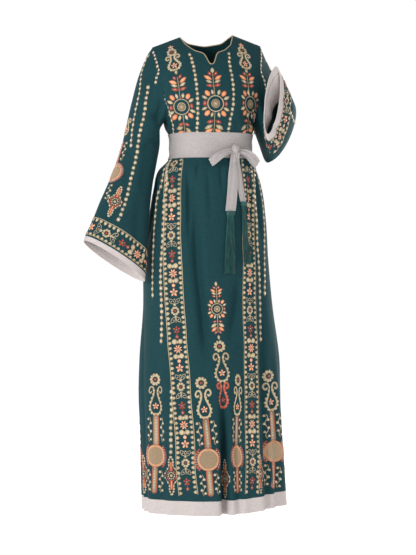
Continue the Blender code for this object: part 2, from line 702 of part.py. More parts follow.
def make_tassel(row, y_top, material, parts, cutters):
    """A tassel: strands whose roots are fused into its bound head."""
    name, x, top = row[:3]
    strands = finish_mesh(name + "_strands", strand_mesh(row, y_top), material, cutters)
    strands.hide_render = True
    strands.display_type = "WIRE"
    mesh = bmesh.new()
    bmesh.ops.create_cube(mesh, size=1.0)
    size = (row[TASSEL_COLUMNS.index("top_width")], HEAD_DEPTH, HEAD_HEIGHT)
    place = (x, y_top, top - SEAM - HEAD_HEIGHT / 2)
    for vert in mesh.verts:
        vert.co = Vector([c * s + p for c, s, p in zip(vert.co, size, place)])
    head = finish_mesh(name, mesh, material, parts)
    joined = head.modifiers.new("fused_roots", "BOOLEAN")
    joined.operation = "UNION"
    joined.solver = "EXACT"
    joined.object = strands


def main():
    """Builds every piece of the dress."""
    parts = start_scene()
    cutters = bpy.data.collections.new("cutters")
    bpy.context.scene.collection.children.link(cutters)
    crepe = cloth_material("crepe", "crepe")
    facing = cloth_material("facing", "facing")
    belt = cloth_material("belt", "facing", 0.6)
    thread = cloth_material("tassel_thread", "thread")
    front, back, front_out, back_out = make_body(parts, crepe, facing, belt)
    make_sleeve("right", SLEEVE_RIGHT, armhole(front, back, -1), -1, crepe, facing, parts)
    make_sleeve("left", SLEEVE_LEFT, armhole(front, back, 1), 1, crepe, facing, parts)
    piping = cloth_material("piping", "piping", 0.5)
    make_piping(front, back, front_out, back_out, piping, parts)
    make_knot(belt, parts)
    for row in LOOPS:
        make_loop(row, belt, parts)
    for tail, tassel in zip(TAILS, TASSELS):
        y_end = make_tail(tail, belt, parts)
        make_tassel(tassel, y_end, thread, parts, cutters)


main()
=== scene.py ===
"""Looks of the long embroidered dress: its cloth, belt, bow, tassels and needlework.

Metres, +Z up, the front faces -Y and the wearer's left side lies at +X.
The cloth follows the same sections, sleeves and folds as the solids that it stands for.
"""

import math

import bmesh
import bpy
import numpy as np
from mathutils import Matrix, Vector
from mathutils.bvhtree import BVHTree


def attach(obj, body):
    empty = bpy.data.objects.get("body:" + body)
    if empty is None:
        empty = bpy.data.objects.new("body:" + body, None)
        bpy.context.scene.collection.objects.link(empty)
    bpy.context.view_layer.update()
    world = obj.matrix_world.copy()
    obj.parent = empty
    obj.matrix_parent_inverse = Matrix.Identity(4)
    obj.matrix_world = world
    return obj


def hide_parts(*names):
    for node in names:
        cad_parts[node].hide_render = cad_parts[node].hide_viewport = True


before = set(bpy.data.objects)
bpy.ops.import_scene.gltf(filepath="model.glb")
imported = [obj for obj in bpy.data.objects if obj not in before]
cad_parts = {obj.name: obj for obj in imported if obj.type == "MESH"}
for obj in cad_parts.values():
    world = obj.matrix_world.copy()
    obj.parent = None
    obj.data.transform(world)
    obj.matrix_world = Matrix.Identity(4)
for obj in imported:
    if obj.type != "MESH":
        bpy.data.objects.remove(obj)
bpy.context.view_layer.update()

# Sizes of the dress, in metres
CLOTH = 0.0018
SEAM = 0.0003
UNDERARM = -0.250
SIDE_SEAM = 0.00003
NECK_HALF = 0.078
NECK_ROUNDING = 8
NECK_MARGIN = 0.0005
NECK_MIDDLE = (0.002, -0.015, 0.012)
SHOULDER_MIDDLE = 0.0015
HEM_LEVEL = -1.351
HEM_LIFT = 0.017
HEM_LIFT_START = 0.1
HEM_BAND = 0.040
BELT_TOP = -0.283
BELT_BOTTOM = -0.355
BELT_CLOTH = 0.0026
ROUNDNESS = 2.3
CHEST_DOME = (2.2, 0.75)
FOLD_START_SHARE = 0.45
GATHER_GAIN = 1.8

# Fineness of the cloth
FRONT_COLUMNS = 150
BACK_COLUMNS = 110
YOKE_ROWS = 52
BLOUSE_ROWS = 8
BELT_ROWS = 10
SKIRT_ROWS = 190
BAND_ROWS = 8
SLEEVE_ROWS = 110
CUFF_ROWS = 8
SECTION_SAMPLES = 1441
BODY_RIM_ROWS = 6
SLEEVE_RIM_ROWS = 4

# Cross-sections of the body of the dress, from the underarm down
BODY_COLUMNS = ("height", "centre", "half_width", "front", "back")
BODY = (
    (-0.250, 0.006, 0.1280, 0.122, 0.100),
    (-0.270, 0.010, 0.1255, 0.118, 0.096),
    (-0.284, 0.0125, 0.1190, 0.105, 0.089),
    (-0.320, 0.0129, 0.1165, 0.100, 0.086),
    (-0.354, 0.0125, 0.1190, 0.104, 0.090),
    (-0.385, 0.0045, 0.1400, 0.114, 0.104),
    (-0.441, 0.0042, 0.1560, 0.121, 0.116),
    (-0.527, 0.0030, 0.1690, 0.128, 0.128),
    (-0.641, 0.0010, 0.1795, 0.134, 0.135),
    (-0.784, 0.0070, 0.1870, 0.141, 0.143),
    (-0.898, 0.0100, 0.1990, 0.149, 0.151),
    (-1.013, 0.0120, 0.2070, 0.157, 0.158),
    (-1.150, 0.0180, 0.2095, 0.163, 0.163),
    (-1.370, 0.0270, 0.2150, 0.170, 0.170),
)

# Shoulder line, carried on across the neck: x, height
SHOULDER_LINE = (
    (-0.154, -0.036),
    (-0.078, -0.006),
    (0.000, 0.012),
    (0.078, 0.003),
    (0.157, -0.026),
)

# Half width of the chest section above the underarm, past the armhole's edge
CHEST_COLUMNS = ("rise", "half_width", "right_arm", "left_arm")
CHEST = (
    (0.00, 0.1280, -0.1220, 0.1340),
    (0.12, 0.1450, -0.1240, 0.1360),
    (0.30, 0.1600, -0.1290, 0.1395),
    (0.55, 0.1720, -0.1370, 0.1450),
    (0.80, 0.1780, -0.1460, 0.1510),
    (1.00, 0.1800, -0.1540, 0.1570),
)

# Top edges of the panels, from the right shoulder tip to the left one: x, height, segments
FRONT_TOP = (
    (-0.154, -0.036, 6),
    (-0.078, -0.006, 3),
    (-0.066, -0.032, 3),
    (-0.044, -0.051, 3),
    (-0.017, -0.060, 2),
    (-0.005, -0.092, 2),
    (0.010, -0.092, 2),
    (0.022, -0.057, 3),
    (0.046, -0.048, 3),
    (0.066, -0.030, 3),
    (0.078, 0.003, 6),
    (0.157, -0.026, 0),
)
BACK_TOP = (
    (-0.154, -0.036, 6),
    (-0.078, -0.006, 3),
    (-0.050, -0.022, 3),
    (0.000, -0.028, 3),
    (0.050, -0.020, 3),
    (0.078, 0.003, 6),
    (0.157, -0.026, 0),
)

# Folds of the skirt: start, end, place at each, depth, width right and left, height of fading
FOLDS = (
    (-0.358, -0.930, -0.062, -0.032, 0.0180, 0.013, 0.015, 0.10),
    (-0.640, -0.900, 0.084, 0.030, 0.0140, 0.014, 0.014, 0.10),
    (-0.940, -1.500, 0.012, -0.002, 0.0430, 0.009, 0.013, 0.00),
    (-0.600, -1.500, 0.142, 0.135, 0.0170, 0.012, 0.014, 0.00),
    (-0.900, -1.500, 0.046, 0.046, 0.0160, 0.016, 0.010, 0.05),
    (-0.700, -1.500, -0.252, -0.262, 0.0110, 0.014, 0.016, 0.00),
    (-0.420, -1.500, 0.215, 0.252, 0.0060, 0.020, 0.020, 0.00),
    (-0.400, -1.500, 0.300, 0.318, 0.0200, 0.018, 0.020, 0.00),
    (-0.390, -1.500, 0.400, 0.425, 0.0240, 0.020, 0.022, 0.00),
    (-0.380, -1.500, -0.455, -0.485, 0.0200, 0.020, 0.018, 0.00),
    (-0.400, -1.500, -0.350, -0.365, 0.0230, 0.022, 0.018, 0.00),
    (-0.370, -1.500, 0.262, 0.372, 0.0130, 0.012, 0.016, 0.00),
    (-0.366, -1.150, 0.325, 0.440, 0.0110, 0.010, 0.012, 0.25),
    (-0.372, -1.500, 0.362, 0.505, 0.0150, 0.015, 0.019, 0.00),
    (-0.370, -1.500, -0.285, -0.418, 0.0125, 0.012, 0.016, 0.00),
    (-0.366, -1.050, -0.325, -0.436, 0.0100, 0.010, 0.010, 0.25),
    (-0.372, -1.500, -0.366, -0.532, 0.0145, 0.014, 0.018, 0.00),
)

# Smaller gathers and soft troughs, in the same columns
GATHERS = (
    (-0.356, -0.500, -0.094, -0.096, 0.0050, 0.006, 0.006, 0.08),
    (-0.356, -0.620, -0.076, -0.070, 0.0060, 0.006, 0.007, 0.12),
    (-0.356, -0.440, -0.048, -0.044, 0.0035, 0.005, 0.005, 0.06),
    (-0.356, -0.560, -0.018, -0.010, 0.0028, 0.007, 0.008, 0.12),
    (-0.356, -0.470, 0.020, 0.024, 0.0030, 0.006, 0.006, 0.07),
    (-0.356, -0.520, 0.076, 0.088, 0.0040, 0.007, 0.006, 0.10),
    (-0.356, -0.600, 0.104, 0.118, 0.0045, 0.006, 0.008, 0.12),
    (-0.356, -0.700, -0.125, -0.160, 0.0040, 0.009, 0.010, 0.20),
    (-0.356, -0.560, -0.150, -0.180, 0.0045, 0.008, 0.008, 0.12),
    (-0.356, -0.620, 0.140, 0.158, 0.0050, 0.008, 0.008, 0.12),
    (-0.356, -0.520, 0.172, 0.190, 0.0050, 0.008, 0.008, 0.10),
    (-0.356, -0.640, 0.208, 0.236, 0.0055, 0.008, 0.009, 0.14),
    (-0.356, -0.520, 0.240, 0.262, 0.0050, 0.007, 0.008, 0.10),
    (-0.356, -0.700, 0.272, 0.300, 0.0060, 0.008, 0.009, 0.16),
    (-0.356, -0.540, 0.305, 0.330, 0.0050, 0.007, 0.008, 0.10),
    (-0.356, -0.620, -0.190, -0.220, 0.0050, 0.008, 0.008, 0.12),
    (-0.356, -0.540, -0.222, -0.250, 0.0055, 0.008, 0.008, 0.10),
    (-0.356, -0.680, -0.254, -0.285, 0.0060, 0.008, 0.009, 0.16),
    (-0.356, -0.540, -0.286, -0.315, 0.0050, 0.007, 0.008, 0.10),
    (-0.356, -0.640, -0.316, -0.345, 0.0055, 0.008, 0.008, 0.12),
    (-0.470, -1.500, -0.110, -0.122, 0.0045, 0.030, 0.030, 0.00),
    (-0.520, -1.500, 0.060, 0.085, 0.0040, 0.024, 0.026, 0.00),
    (-0.760, -1.500, -0.175, -0.190, 0.0065, 0.020, 0.022, 0.00),
    (-0.820, -1.500, 0.172, 0.180, 0.0080, 0.018, 0.020, 0.00),
    (-0.900, -1.500, 0.262, 0.275, 0.0100, 0.018, 0.020, 0.00),
    (-0.900, -1.500, -0.300, -0.312, 0.0100, 0.018, 0.020, 0.00),
    (-0.800, -1.500, 0.480, 0.500, 0.0120, 0.020, 0.020, 0.00),
    (-0.850, -1.500, -0.410, -0.425, 0.0120, 0.020, 0.020, 0.00),
)

# Creases run out over some widths past their ends and swell over a share of their length
CREASE_TAPER = 3
CREASE_SWELL = 0.5
CREASE_FACING = 4

# Creases seen from the front: x and z of the start, x and z of the end, depth, width, side
BODY_CREASES = (
    (-0.128, -0.226, -0.070, -0.150, 0.0060, 0.011, "both"),
    (-0.124, -0.244, -0.066, -0.205, 0.0045, 0.009, "both"),
    (0.134, -0.230, 0.090, -0.160, 0.0050, 0.010, "both"),
    (0.130, -0.246, 0.080, -0.222, 0.0045, 0.009, "both"),
    (-0.110, -0.060, -0.096, -0.130, 0.0030, 0.012, "both"),
    (0.112, -0.050, 0.100, -0.125, 0.0030, 0.012, "both"),
    (-0.085, -0.282, -0.080, -0.248, 0.0030, 0.006, "both"),
    (-0.050, -0.282, -0.048, -0.252, 0.0026, 0.006, "both"),
    (-0.015, -0.282, -0.014, -0.256, 0.0022, 0.006, "both"),
    (0.030, -0.282, 0.030, -0.254, 0.0024, 0.006, "both"),
    (0.070, -0.282, 0.071, -0.250, 0.0028, 0.006, "both"),
    (0.100, -0.282, 0.102, -0.252, 0.0026, 0.006, "both"),
    (-0.060, -0.060, -0.020, -0.150, 0.0030, 0.016, "back"),
    (0.055, -0.060, 0.020, -0.150, 0.0030, 0.016, "back"),
    (-0.075, -0.200, 0.060, -0.215, 0.0030, 0.012, "back"),
)
SLEEVE_RIGHT_CREASES = (
    (-0.132, -0.180, -0.150, -0.262, 0.0070, 0.010, "both"),
    (-0.126, -0.240, -0.172, -0.232, 0.0050, 0.009, "both"),
    (-0.150, -0.110, -0.176, -0.200, 0.0040, 0.012, "both"),
    (-0.136, -0.300, -0.190, -0.330, 0.0060, 0.013, "both"),
    (-0.170, -0.300, -0.196, -0.480, 0.0045, 0.016, "both"),
    (-0.215, -0.330, -0.246, -0.500, 0.0050, 0.018, "front"),
    (-0.200, -0.450, -0.214, -0.640, 0.0060, 0.016, "front"),
    (-0.262, -0.450, -0.300, -0.580, 0.0045, 0.014, "front"),
    (-0.240, -0.380, -0.262, -0.560, 0.0060, 0.018, "back"),
    (-0.180, -0.420, -0.214, -0.600, 0.0060, 0.016, "back"),
)
SLEEVE_LEFT_CREASES = (
    (0.150, -0.150, 0.164, -0.236, 0.0050, 0.009, "front"),
    (0.168, -0.300, 0.196, -0.326, 0.0050, 0.008, "both"),
    (0.176, -0.262, 0.214, -0.292, 0.0060, 0.009, "both"),
    (0.205, -0.186, 0.236, -0.214, 0.0045, 0.009, "both"),
    (0.170, -0.090, 0.206, -0.190, 0.0045, 0.012, "back"),
    (0.150, -0.200, 0.190, -0.290, 0.0060, 0.012, "back"),
)

# Sections of the sleeves: the upper, back, lower and front points of each, from the armhole
SLEEVE_COLUMNS = ("top", "back", "low", "front")
SLEEVE_RIGHT = (
    ((-0.1540, 0.000, -0.036), (-0.138, 0.058, -0.143),
     (-0.1220, 0.000, -0.250), (-0.138, -0.058, -0.143)),
    ((-0.1800, 0.000, -0.074), (-0.153, 0.064, -0.168),
     (-0.1262, 0.000, -0.262), (-0.153, -0.064, -0.168)),
    ((-0.2014, 0.000, -0.130), (-0.165, 0.066, -0.205),
     (-0.1280, 0.000, -0.280), (-0.165, -0.066, -0.205)),
    ((-0.2157, 0.000, -0.198), (-0.173, 0.066, -0.250),
     (-0.1310, 0.000, -0.303), (-0.173, -0.066, -0.250)),
    ((-0.2316, -0.002, -0.272), (-0.184, 0.062, -0.306),
     (-0.1370, -0.002, -0.334), (-0.184, -0.066, -0.300)),
    ((-0.2508, -0.010, -0.344), (-0.198, 0.050, -0.366),
     (-0.1460, -0.010, -0.377), (-0.198, -0.070, -0.354)),
    ((-0.2803, -0.024, -0.418), (-0.219, 0.032, -0.435),
     (-0.1580, -0.026, -0.434), (-0.219, -0.080, -0.417)),
    ((-0.3080, -0.038, -0.478), (-0.238, 0.011, -0.508),
     (-0.1690, -0.044, -0.515), (-0.238, -0.091, -0.485)),
    ((-0.3290, -0.050, -0.528), (-0.253, -0.009, -0.574),
     (-0.1768, -0.062, -0.596), (-0.253, -0.103, -0.550)),
    ((-0.3491, -0.060, -0.570), (-0.266, -0.024, -0.633),
     (-0.1825, -0.074, -0.672), (-0.266, -0.110, -0.609)),
    ((-0.3564, -0.063, -0.589), (-0.271, -0.029, -0.657),
     (-0.1850, -0.078, -0.701), (-0.271, -0.112, -0.633)),
)
SLEEVE_LEFT = (
    ((0.1570, 0.000, -0.026), (0.1455, 0.058, -0.138),
     (0.1340, 0.000, -0.250), (0.1455, -0.058, -0.138)),
    ((0.1920, 0.008, -0.068), (0.1760, 0.068, -0.185),
     (0.1425, -0.004, -0.310), (0.1610, -0.056, -0.176)),
    ((0.2180, 0.014, -0.112), (0.2050, 0.072, -0.222),
     (0.1490, -0.010, -0.336), (0.1700, -0.053, -0.202)),
    ((0.2330, 0.010, -0.154), (0.2320, 0.060, -0.255),
     (0.1600, -0.018, -0.352), (0.1740, -0.054, -0.222)),
    ((0.2370, -0.010, -0.185), (0.2500, 0.028, -0.265),
     (0.1725, -0.028, -0.358), (0.1740, -0.060, -0.236)),
    ((0.2320, -0.038, -0.193), (0.2535, -0.014, -0.258),
     (0.1800, -0.046, -0.360), (0.1700, -0.070, -0.244)),
    ((0.2220, -0.064, -0.180), (0.2450, -0.048, -0.250),
     (0.1820, -0.066, -0.355), (0.1640, -0.082, -0.245)),
    ((0.2090, -0.088, -0.154), (0.2290, -0.076, -0.236),
     (0.1765, -0.088, -0.340), (0.1575, -0.095, -0.239)),
    ((0.1935, -0.108, -0.124), (0.2095, -0.100, -0.216),
     (0.1670, -0.108, -0.316), (0.1510, -0.111, -0.222)),
    ((0.1791, -0.125, -0.0976), (0.1905, -0.121, -0.193),
     (0.1563, -0.125, -0.2887), (0.1457, -0.130, -0.193)),
)
FACING_ROWS = 36
FACING_GAP = 0.0003
FACING_CLOTH = 0.0007
CUFF_SHARE = 0.075
CUFF_GAP_SHARE = 0.0015
SETTLE_SHARE = {"right": 0.35, "left": 0.60}

# Wrinkles of the belt: place down it, slope, waves round it, width
BELT_WRINKLES = ((0.30, 0.16, 2, 0.10), (0.62, -0.14, 3, 0.12), (0.8, 0.1, 5, 0.1))
WRINKLE_DEPTH = 0.0017

# Belt bow and tassels
KNOT = (0.0665, -0.1078, -0.3300)
KNOT_RADII = (0.0135, 0.0100, 0.0125)
KNOT_FORM = (0.0120, 0.0106, 0.0135)
KNOT_ROWS = 25
KNOT_SIDES = 36
KNOT_LEAN = math.radians(24)
KNOT_RIPPLES = (0.045, 15, 2.0)
KNOT_CREASES = ((0.50, 0.09, 0.16), (-0.58, 0.08, 0.12))
BOW_CLOTH = 0.0016
# Loops of the bow: name, place of the tip, width at the knot and at the tip, fullness, arch
LOOPS = (
    ("bow_loop_left", 0.132, -0.090, -0.372, 0.013, 0.031, 0.0066, 0.010),
    ("bow_loop_right", -0.006, -0.127, -0.370, 0.013, 0.028, 0.0062, 0.006),
)
LOOP_SEGMENTS = 60
LOOP_GAP = 0.0005
LOOP_TURN_POWER = 0.6
LOOP_BELLY_POWERS = (6, 0.7)
LOOP_LINES = 9
LOOP_ROOT = 0.001
LOOP_TIP_GATHER = 0.22
LOOP_PLEATS = (0.0018, 13.0, 0.75)
LOOP_RIPPLES = (0.0036, 7.0, 9.0)
BELT_STEP = (0.012, 0.006)
TAIL_STANDOFFS = {"belt_tail_1": 0.0046, "belt_tail_2": 0.0018}
TAIL_ROWS = 60
TAIL_LINES = 11
TAIL_HANG = 6.0
TAIL_SPREAD = 2.2
TAIL_PLEATS = (0.0011, 11, 2.2, 0.6)
# Ends of the belt: name, x from and to, z from and to, width at the top and at the end
TAILS = (
    ("belt_tail_1", 0.0605, 0.0490, -0.3400, -0.5050, 0.015, 0.030),
    ("belt_tail_2", 0.0735, 0.0875, -0.3400, -0.4780, 0.011, 0.018),
)
# Tassels: name, x, top, bottom, width at the top and at the end, drift, threads across
TASSELS = (
    ("tassel_1", 0.0490, -0.5050, -0.6850, 0.022, 0.033, -0.004, 26),
    ("tassel_2", 0.0875, -0.4780, -0.6580, 0.014, 0.021, 0.010, 20),
)
STRAND_LAYERS = 3
LAYER_GAP = 0.0016
STRAND_RADIUS = 0.00055
STRAND_STEPS = 12
STRAND_STANDOFF = 0.0060
HEAD_HEIGHT = 0.012
ROOT_SPREAD = 0.86
HEAD_TURNS = 5
HEAD_SEGMENTS = 20
HEAD_CORD = 0.0014
HEAD_DEPTH = 0.0030
HEAD_MARGIN = 0.0015
HEAD_REACH = 0.0005
LAYER_SHIFT = 0.4
THREAD_PHASE = 0.35
LENGTH_SPREAD = 0.05
SWAYS = ((0.0012, 9), (0.0007, 14), (0.0008, 7))
PIPING_RADIUS = 0.0016
PIPING_SIDES = 10
PIPING_MARGIN = 0.001
PIPING_CORNER = 0.6

# Camera: level, turned nine degrees, five metres off
CAMERA_TURN = math.radians(9)
CAMERA_DISTANCE = 5.0
CAMERA_ASIDE = 0.0057
CAMERA_HEIGHT = -0.691
PHOTO_WIDTH = 416
PHOTO_HEIGHT = 555
FOCAL_PIXELS = 1748.0
SENSOR = 36.0
CAMERA_REACH = 100.0
FLOOR_LEVEL = -1.475
FLOOR_REACH = 30.0
FLOOR_MOTTLE = 0.7
LAMP_AIM = (0.0, 0.0, -0.65)
SKY_STRENGTH = 1.02
SKY_BAND = (0.30, 0.62)
SKY_TOP = (0.42, 0.42, 0.43, 1.0)
FLOOR_GLOW = 0.50
# Lamps: place, size, power in watts
LAMPS = (
    ((-3.2, -2.5, 0.5), 0.9, 84),
    ((3.0, 2.7, 0.6), 0.9, 75),
    ((2.4, -3.6, -0.2), 2.0, 8),
)


def unit(vectors):
    """Vectors brought to length one."""
    return vectors / np.maximum(np.linalg.norm(vectors, axis=-1, keepdims=True), 1e-9)


def curve(values, slopes, cell, t, step=1.0):
    """Points on a smooth curve, at shares of the cells between its values."""
    rise = values[cell] * (2 * t**3 - 3 * t**2 + 1) + values[cell + 1] * (3 * t**2 - 2 * t**3)
    turn = slopes[cell] * (t**3 - 2 * t**2 + t) + slopes[cell + 1] * (t**3 - t**2)
    return rise + turn * step


def wrapped(grid):
    """A grid with its first column once more after the last, which closes it."""
    return np.concatenate([grid, grid[:, :1]], axis=1)


def quads(index):
    """Faces between neighbours in a grid of point numbers."""
    corners = (index[:-1, :-1], index[1:, :-1], index[1:, 1:], index[:-1, 1:])
    return np.stack(corners, axis=-1).reshape(-1, 4)


def circle(count):
    """Even angles once round."""
    return np.arange(count) * 2 * math.pi / count


def smooth_read(rows, columns, key, name, at):
    """Reads a column of a table along a key column, on a smooth curve through its rows."""
    keys = np.array([row[columns.index(key)] for row in rows], dtype=float)
    values = np.array([row[columns.index(name)] for row in rows], dtype=float)
    if keys[0] > keys[-1]:
        keys = keys[::-1]
        values = values[::-1]
    slopes = np.gradient(values, keys)
    at = np.clip(np.asarray(at, dtype=float), keys[0], keys[-1])
    cell = np.clip(np.searchsorted(keys, at) - 1, 0, len(keys) - 2)
    step = keys[cell + 1] - keys[cell]
    return curve(values, slopes, cell, (at - keys[cell]) / step, step)


def body(name, height):
    """One measure of the dress's section at a height."""
    return smooth_read(BODY, BODY_COLUMNS, "height", name, height)


def ease(value):
    """Goes from 0 to 1 with no corner at either end."""
    value = np.clip(value, 0.0, 1.0)
    return value * value * (3 - 2 * value)


def fold_depth(place, height, folds):
    """How far the folds push the cloth inwards at a place on the section."""
    total = np.zeros_like(place)
    for start, end, top, low, depth, left, right, fade in folds:
        share = np.clip((start - height) / (start - end), 0.0, 1.0)
        centre = top + (low - top) * share
        grow = ease((start - height) / (FOLD_START_SHARE * (start - end)))
        if fade:
            grow = grow * ease((height - end) / fade)
        width = np.where(place < centre, left, right)
        total = total + depth * grow * np.exp(-(((place - centre) / width) ** 2))
    return total


def hem_height(angle):
    """The hem hangs level, but for a lift at the left side of the front."""
    return HEM_LEVEL + HEM_LIFT * ease((np.sin(angle) + HEM_LIFT_START) / (1 + HEM_LIFT_START))


def section(height_at):
    """A full section of the skirt as dense points, from centre back round by the right side.

    height_at gives the height for each angle. The angle is 0 at centre front and grows
    towards the left side.
    """
    angle = np.linspace(-math.pi, math.pi, SECTION_SAMPLES)
    height = height_at(angle)
    half = body("half_width", height)
    deep = np.where(np.abs(angle) < math.pi / 2, body("front", height), body("back", height))
    power = 2 / ROUNDNESS
    x = body("centre", height) + half * np.sign(np.sin(angle)) * np.abs(np.sin(angle)) ** power
    y = -deep * np.sign(np.cos(angle)) * np.abs(np.cos(angle)) ** power
    points = np.stack([x, y, height], axis=1)
    steps = np.linalg.norm(np.diff(points[:, :2], axis=0), axis=1)
    place = np.concatenate([[0.0], np.cumsum(steps)])
    place = place - place[SECTION_SAMPLES // 2]
    tangent = unit(np.gradient(points[:, :2], place, axis=0))
    outward = np.stack([tangent[:, 1], -tangent[:, 0]], axis=1)
    pushed = fold_depth(place, height, FOLDS) + GATHER_GAIN * fold_depth(place, height, GATHERS)
    points[:, :2] -= outward * pushed[:, None]
    return points


def spread(points, first, last, count):
    """Even points along a dense line between two of its indices."""
    stretch = points[first : last + 1]
    run = np.concatenate([[0.0], np.cumsum(np.linalg.norm(np.diff(stretch, axis=0), axis=1))])
    wanted = np.linspace(0.0, run[-1], count + 1)
    return np.stack([np.interp(wanted, run, stretch[:, k]) for k in range(3)], axis=1)


def ring_row(height_at):
    """Front and back columns of one row, parted at the side seams by a hair."""
    points = section(height_at)
    quarter = (len(points) - 1) // 4
    front = spread(points, quarter, 3 * quarter, FRONT_COLUMNS)
    behind = np.concatenate([points[3 * quarter :], points[1 : quarter + 1]])
    back = spread(behind, 0, len(behind) - 1, BACK_COLUMNS)
    for row in (front, back):
        for edge, inner in ((0, 1), (-1, -2)):
            along = row[inner] - row[edge]
            row[edge] = row[edge] + along / np.linalg.norm(along) * SIDE_SEAM / 2
    return front, back


def skirt_rows():
    """Every row below the underarm, top to bottom."""
    rows = []
    for k in range(BLOUSE_ROWS + 1):
        level = UNDERARM + (BELT_TOP - UNDERARM) * k / BLOUSE_ROWS
        rows.append(ring_row(lambda angle, z=level: np.full_like(angle, z)))
    for k in range(1, BELT_ROWS + 1):
        level = BELT_TOP + (BELT_BOTTOM - BELT_TOP) * k / BELT_ROWS
        rows.append(ring_row(lambda angle, z=level: np.full_like(angle, z)))
    for k in range(1, SKIRT_ROWS + 1):
        share = k / SKIRT_ROWS

        def level_at(angle, share=share):
            return BELT_BOTTOM + (hem_height(angle) + HEM_BAND - BELT_BOTTOM) * share

        rows.append(ring_row(level_at))
    return rows


def band_rows():
    """The rows of the hem band, from its seam to the hem's edge."""
    rows = []
    for k in range(BAND_ROWS + 1):
        drop = SEAM + (HEM_BAND - SEAM) * k / BAND_ROWS
        rows.append(ring_row(lambda angle, d=drop: hem_height(angle) + HEM_BAND - d))
    return rows


def shoulder_height(x):
    """Height of the shoulder line, carried on across the neck."""
    across, heights = zip(*SHOULDER_LINE)
    return np.interp(x, across, heights)


def chest_depth(x, height, deep):
    """Distance of the chest or back from the shoulder plane, above the underarm."""
    rise = (height - UNDERARM) / (shoulder_height(x) - UNDERARM)
    rise = np.clip(rise, 0.0, 1.0)
    half = smooth_read(CHEST, CHEST_COLUMNS, "rise", "half_width", rise)
    centre = body("centre", UNDERARM) * (1 - rise) + SHOULDER_MIDDLE * rise
    across = np.clip(np.abs(x - centre) / half, 0.0, 1.0)
    shape = (1 - across**ROUNDNESS) ** (1 / ROUNDNESS)
    return deep * shape * (1 - rise ** CHEST_DOME[0]) ** CHEST_DOME[1]


def top_edge(rows, count):
    """Top edge points of a panel, each table stretch cut into its share, the neck rounded."""
    total = sum(row[2] for row in rows)
    stops = np.cumsum([0] + [row[2] for row in rows[:-1]]) * count / total
    wanted = np.arange(count + 1)
    x = np.interp(wanted, stops, [row[0] for row in rows])
    z = np.interp(wanted, stops, [row[1] for row in rows])
    within = (np.abs(x) < NECK_HALF - NECK_MARGIN)[1:-1]
    for _ in range(NECK_ROUNDING):
        for line in (x, z):
            line[1:-1] = np.where(within, (line[:-2] + 2 * line[1:-1] + line[2:]) / 4, line[1:-1])
    return x, z


def yoke_rows(rows, count, deep, facing, first_row):
    """Rows of a panel above the underarm, from the first full ring up to its top edge."""
    top_x, top_z = top_edge(rows, count)
    top_share = (top_x - top_x[0]) / (top_x[-1] - top_x[0])
    low_share = (first_row[:, 0] - first_row[0, 0]) / (first_row[-1, 0] - first_row[0, 0])
    grid = []
    for k in range(1, YOKE_ROWS + 1):
        t = k / YOKE_ROWS
        right = smooth_read(CHEST, CHEST_COLUMNS, "rise", "right_arm", t)
        left = smooth_read(CHEST, CHEST_COLUMNS, "rise", "left_arm", t)
        share = low_share * (1 - t) + top_share * t
        x = right + share * (left - right)
        z = UNDERARM + t * (top_z - UNDERARM)
        y = facing * chest_depth(x, z, deep)
        grid.append(np.stack([x, y, z], axis=1))
    return grid


def normals(grid, closed=False):
    """Outward directions at each point of a grid of rows, by its neighbours."""
    if closed:
        along = np.roll(grid, -1, axis=1) - np.roll(grid, 1, axis=1)
    else:
        along = np.gradient(grid, axis=1)
    down = np.gradient(grid, axis=0)
    return unit(np.cross(down, along))


def panel_normals(grid, band):
    """Outward directions of a panel and its hem band, square to the side seams at the edges."""
    out = normals(np.concatenate([grid, band[1:]]))
    for column in (0, -1):
        edge = out[:, column].copy()
        edge[:, 1] = 0.0
        out[:, column] = unit(edge)
    return out


def crease_push(grid, out, creases):
    """Presses soft creases into a grid, each along a line seen from the front."""
    pushed = np.zeros(grid.shape[:2])
    for x0, z0, x1, z1, depth, width, side in creases:
        along = np.array([x1 - x0, z1 - z0])
        length = np.linalg.norm(along)
        along = along / length
        away = grid[:, :, [0, 2]] - np.array([x0, z0])
        run = away @ along
        off = away @ np.array([-along[1], along[0]])
        past = np.maximum(np.maximum(-run, run - length), 0.0)
        taper = ease(1 - past / (CREASE_TAPER * width))
        swell = CREASE_SWELL * length
        inner = ease((run + width) / swell) * ease((length + width - run) / swell)
        amount = depth * np.exp(-((off / width) ** 2)) * taper * np.clip(inner, 0.0, 1.0)
        facing = out[:, :, 1]
        if side == "front":
            amount = amount * ease(-facing * CREASE_FACING)
        elif side == "back":
            amount = amount * ease(facing * CREASE_FACING)
        pushed += amount
    return pushed


def grid_mesh(name, outer, inner, closed=False):
    """A closed thin wall between two grids of the same rows and columns."""
    rows, columns = outer.shape[:2]
    size = rows * columns
    points = np.concatenate([outer.reshape(-1, 3), inner.reshape(-1, 3)])
    index = np.arange(size).reshape(rows, columns)
    if closed:
        index = wrapped(index)
    outside = quads(index)
    faces = [outside, outside[:, ::-1] + size]
    rims = [index[0], index[-1][::-1]]
    if not closed:
        rims += [index[::-1, 0], index[:, -1]]
    for rim in rims:
        start, end = rim[:-1], rim[1:]
        faces.append(np.stack([start, end, end + size, start + size], axis=-1))
    data = bpy.data.meshes.new(name)
    data.from_pydata(points.tolist(), [], np.concatenate(faces).tolist())
    return data


def linked(name, data):
    """An object with its data, put in the scene."""
    thing = bpy.data.objects.new(name, data)
    bpy.context.scene.collection.objects.link(thing)
    return thing


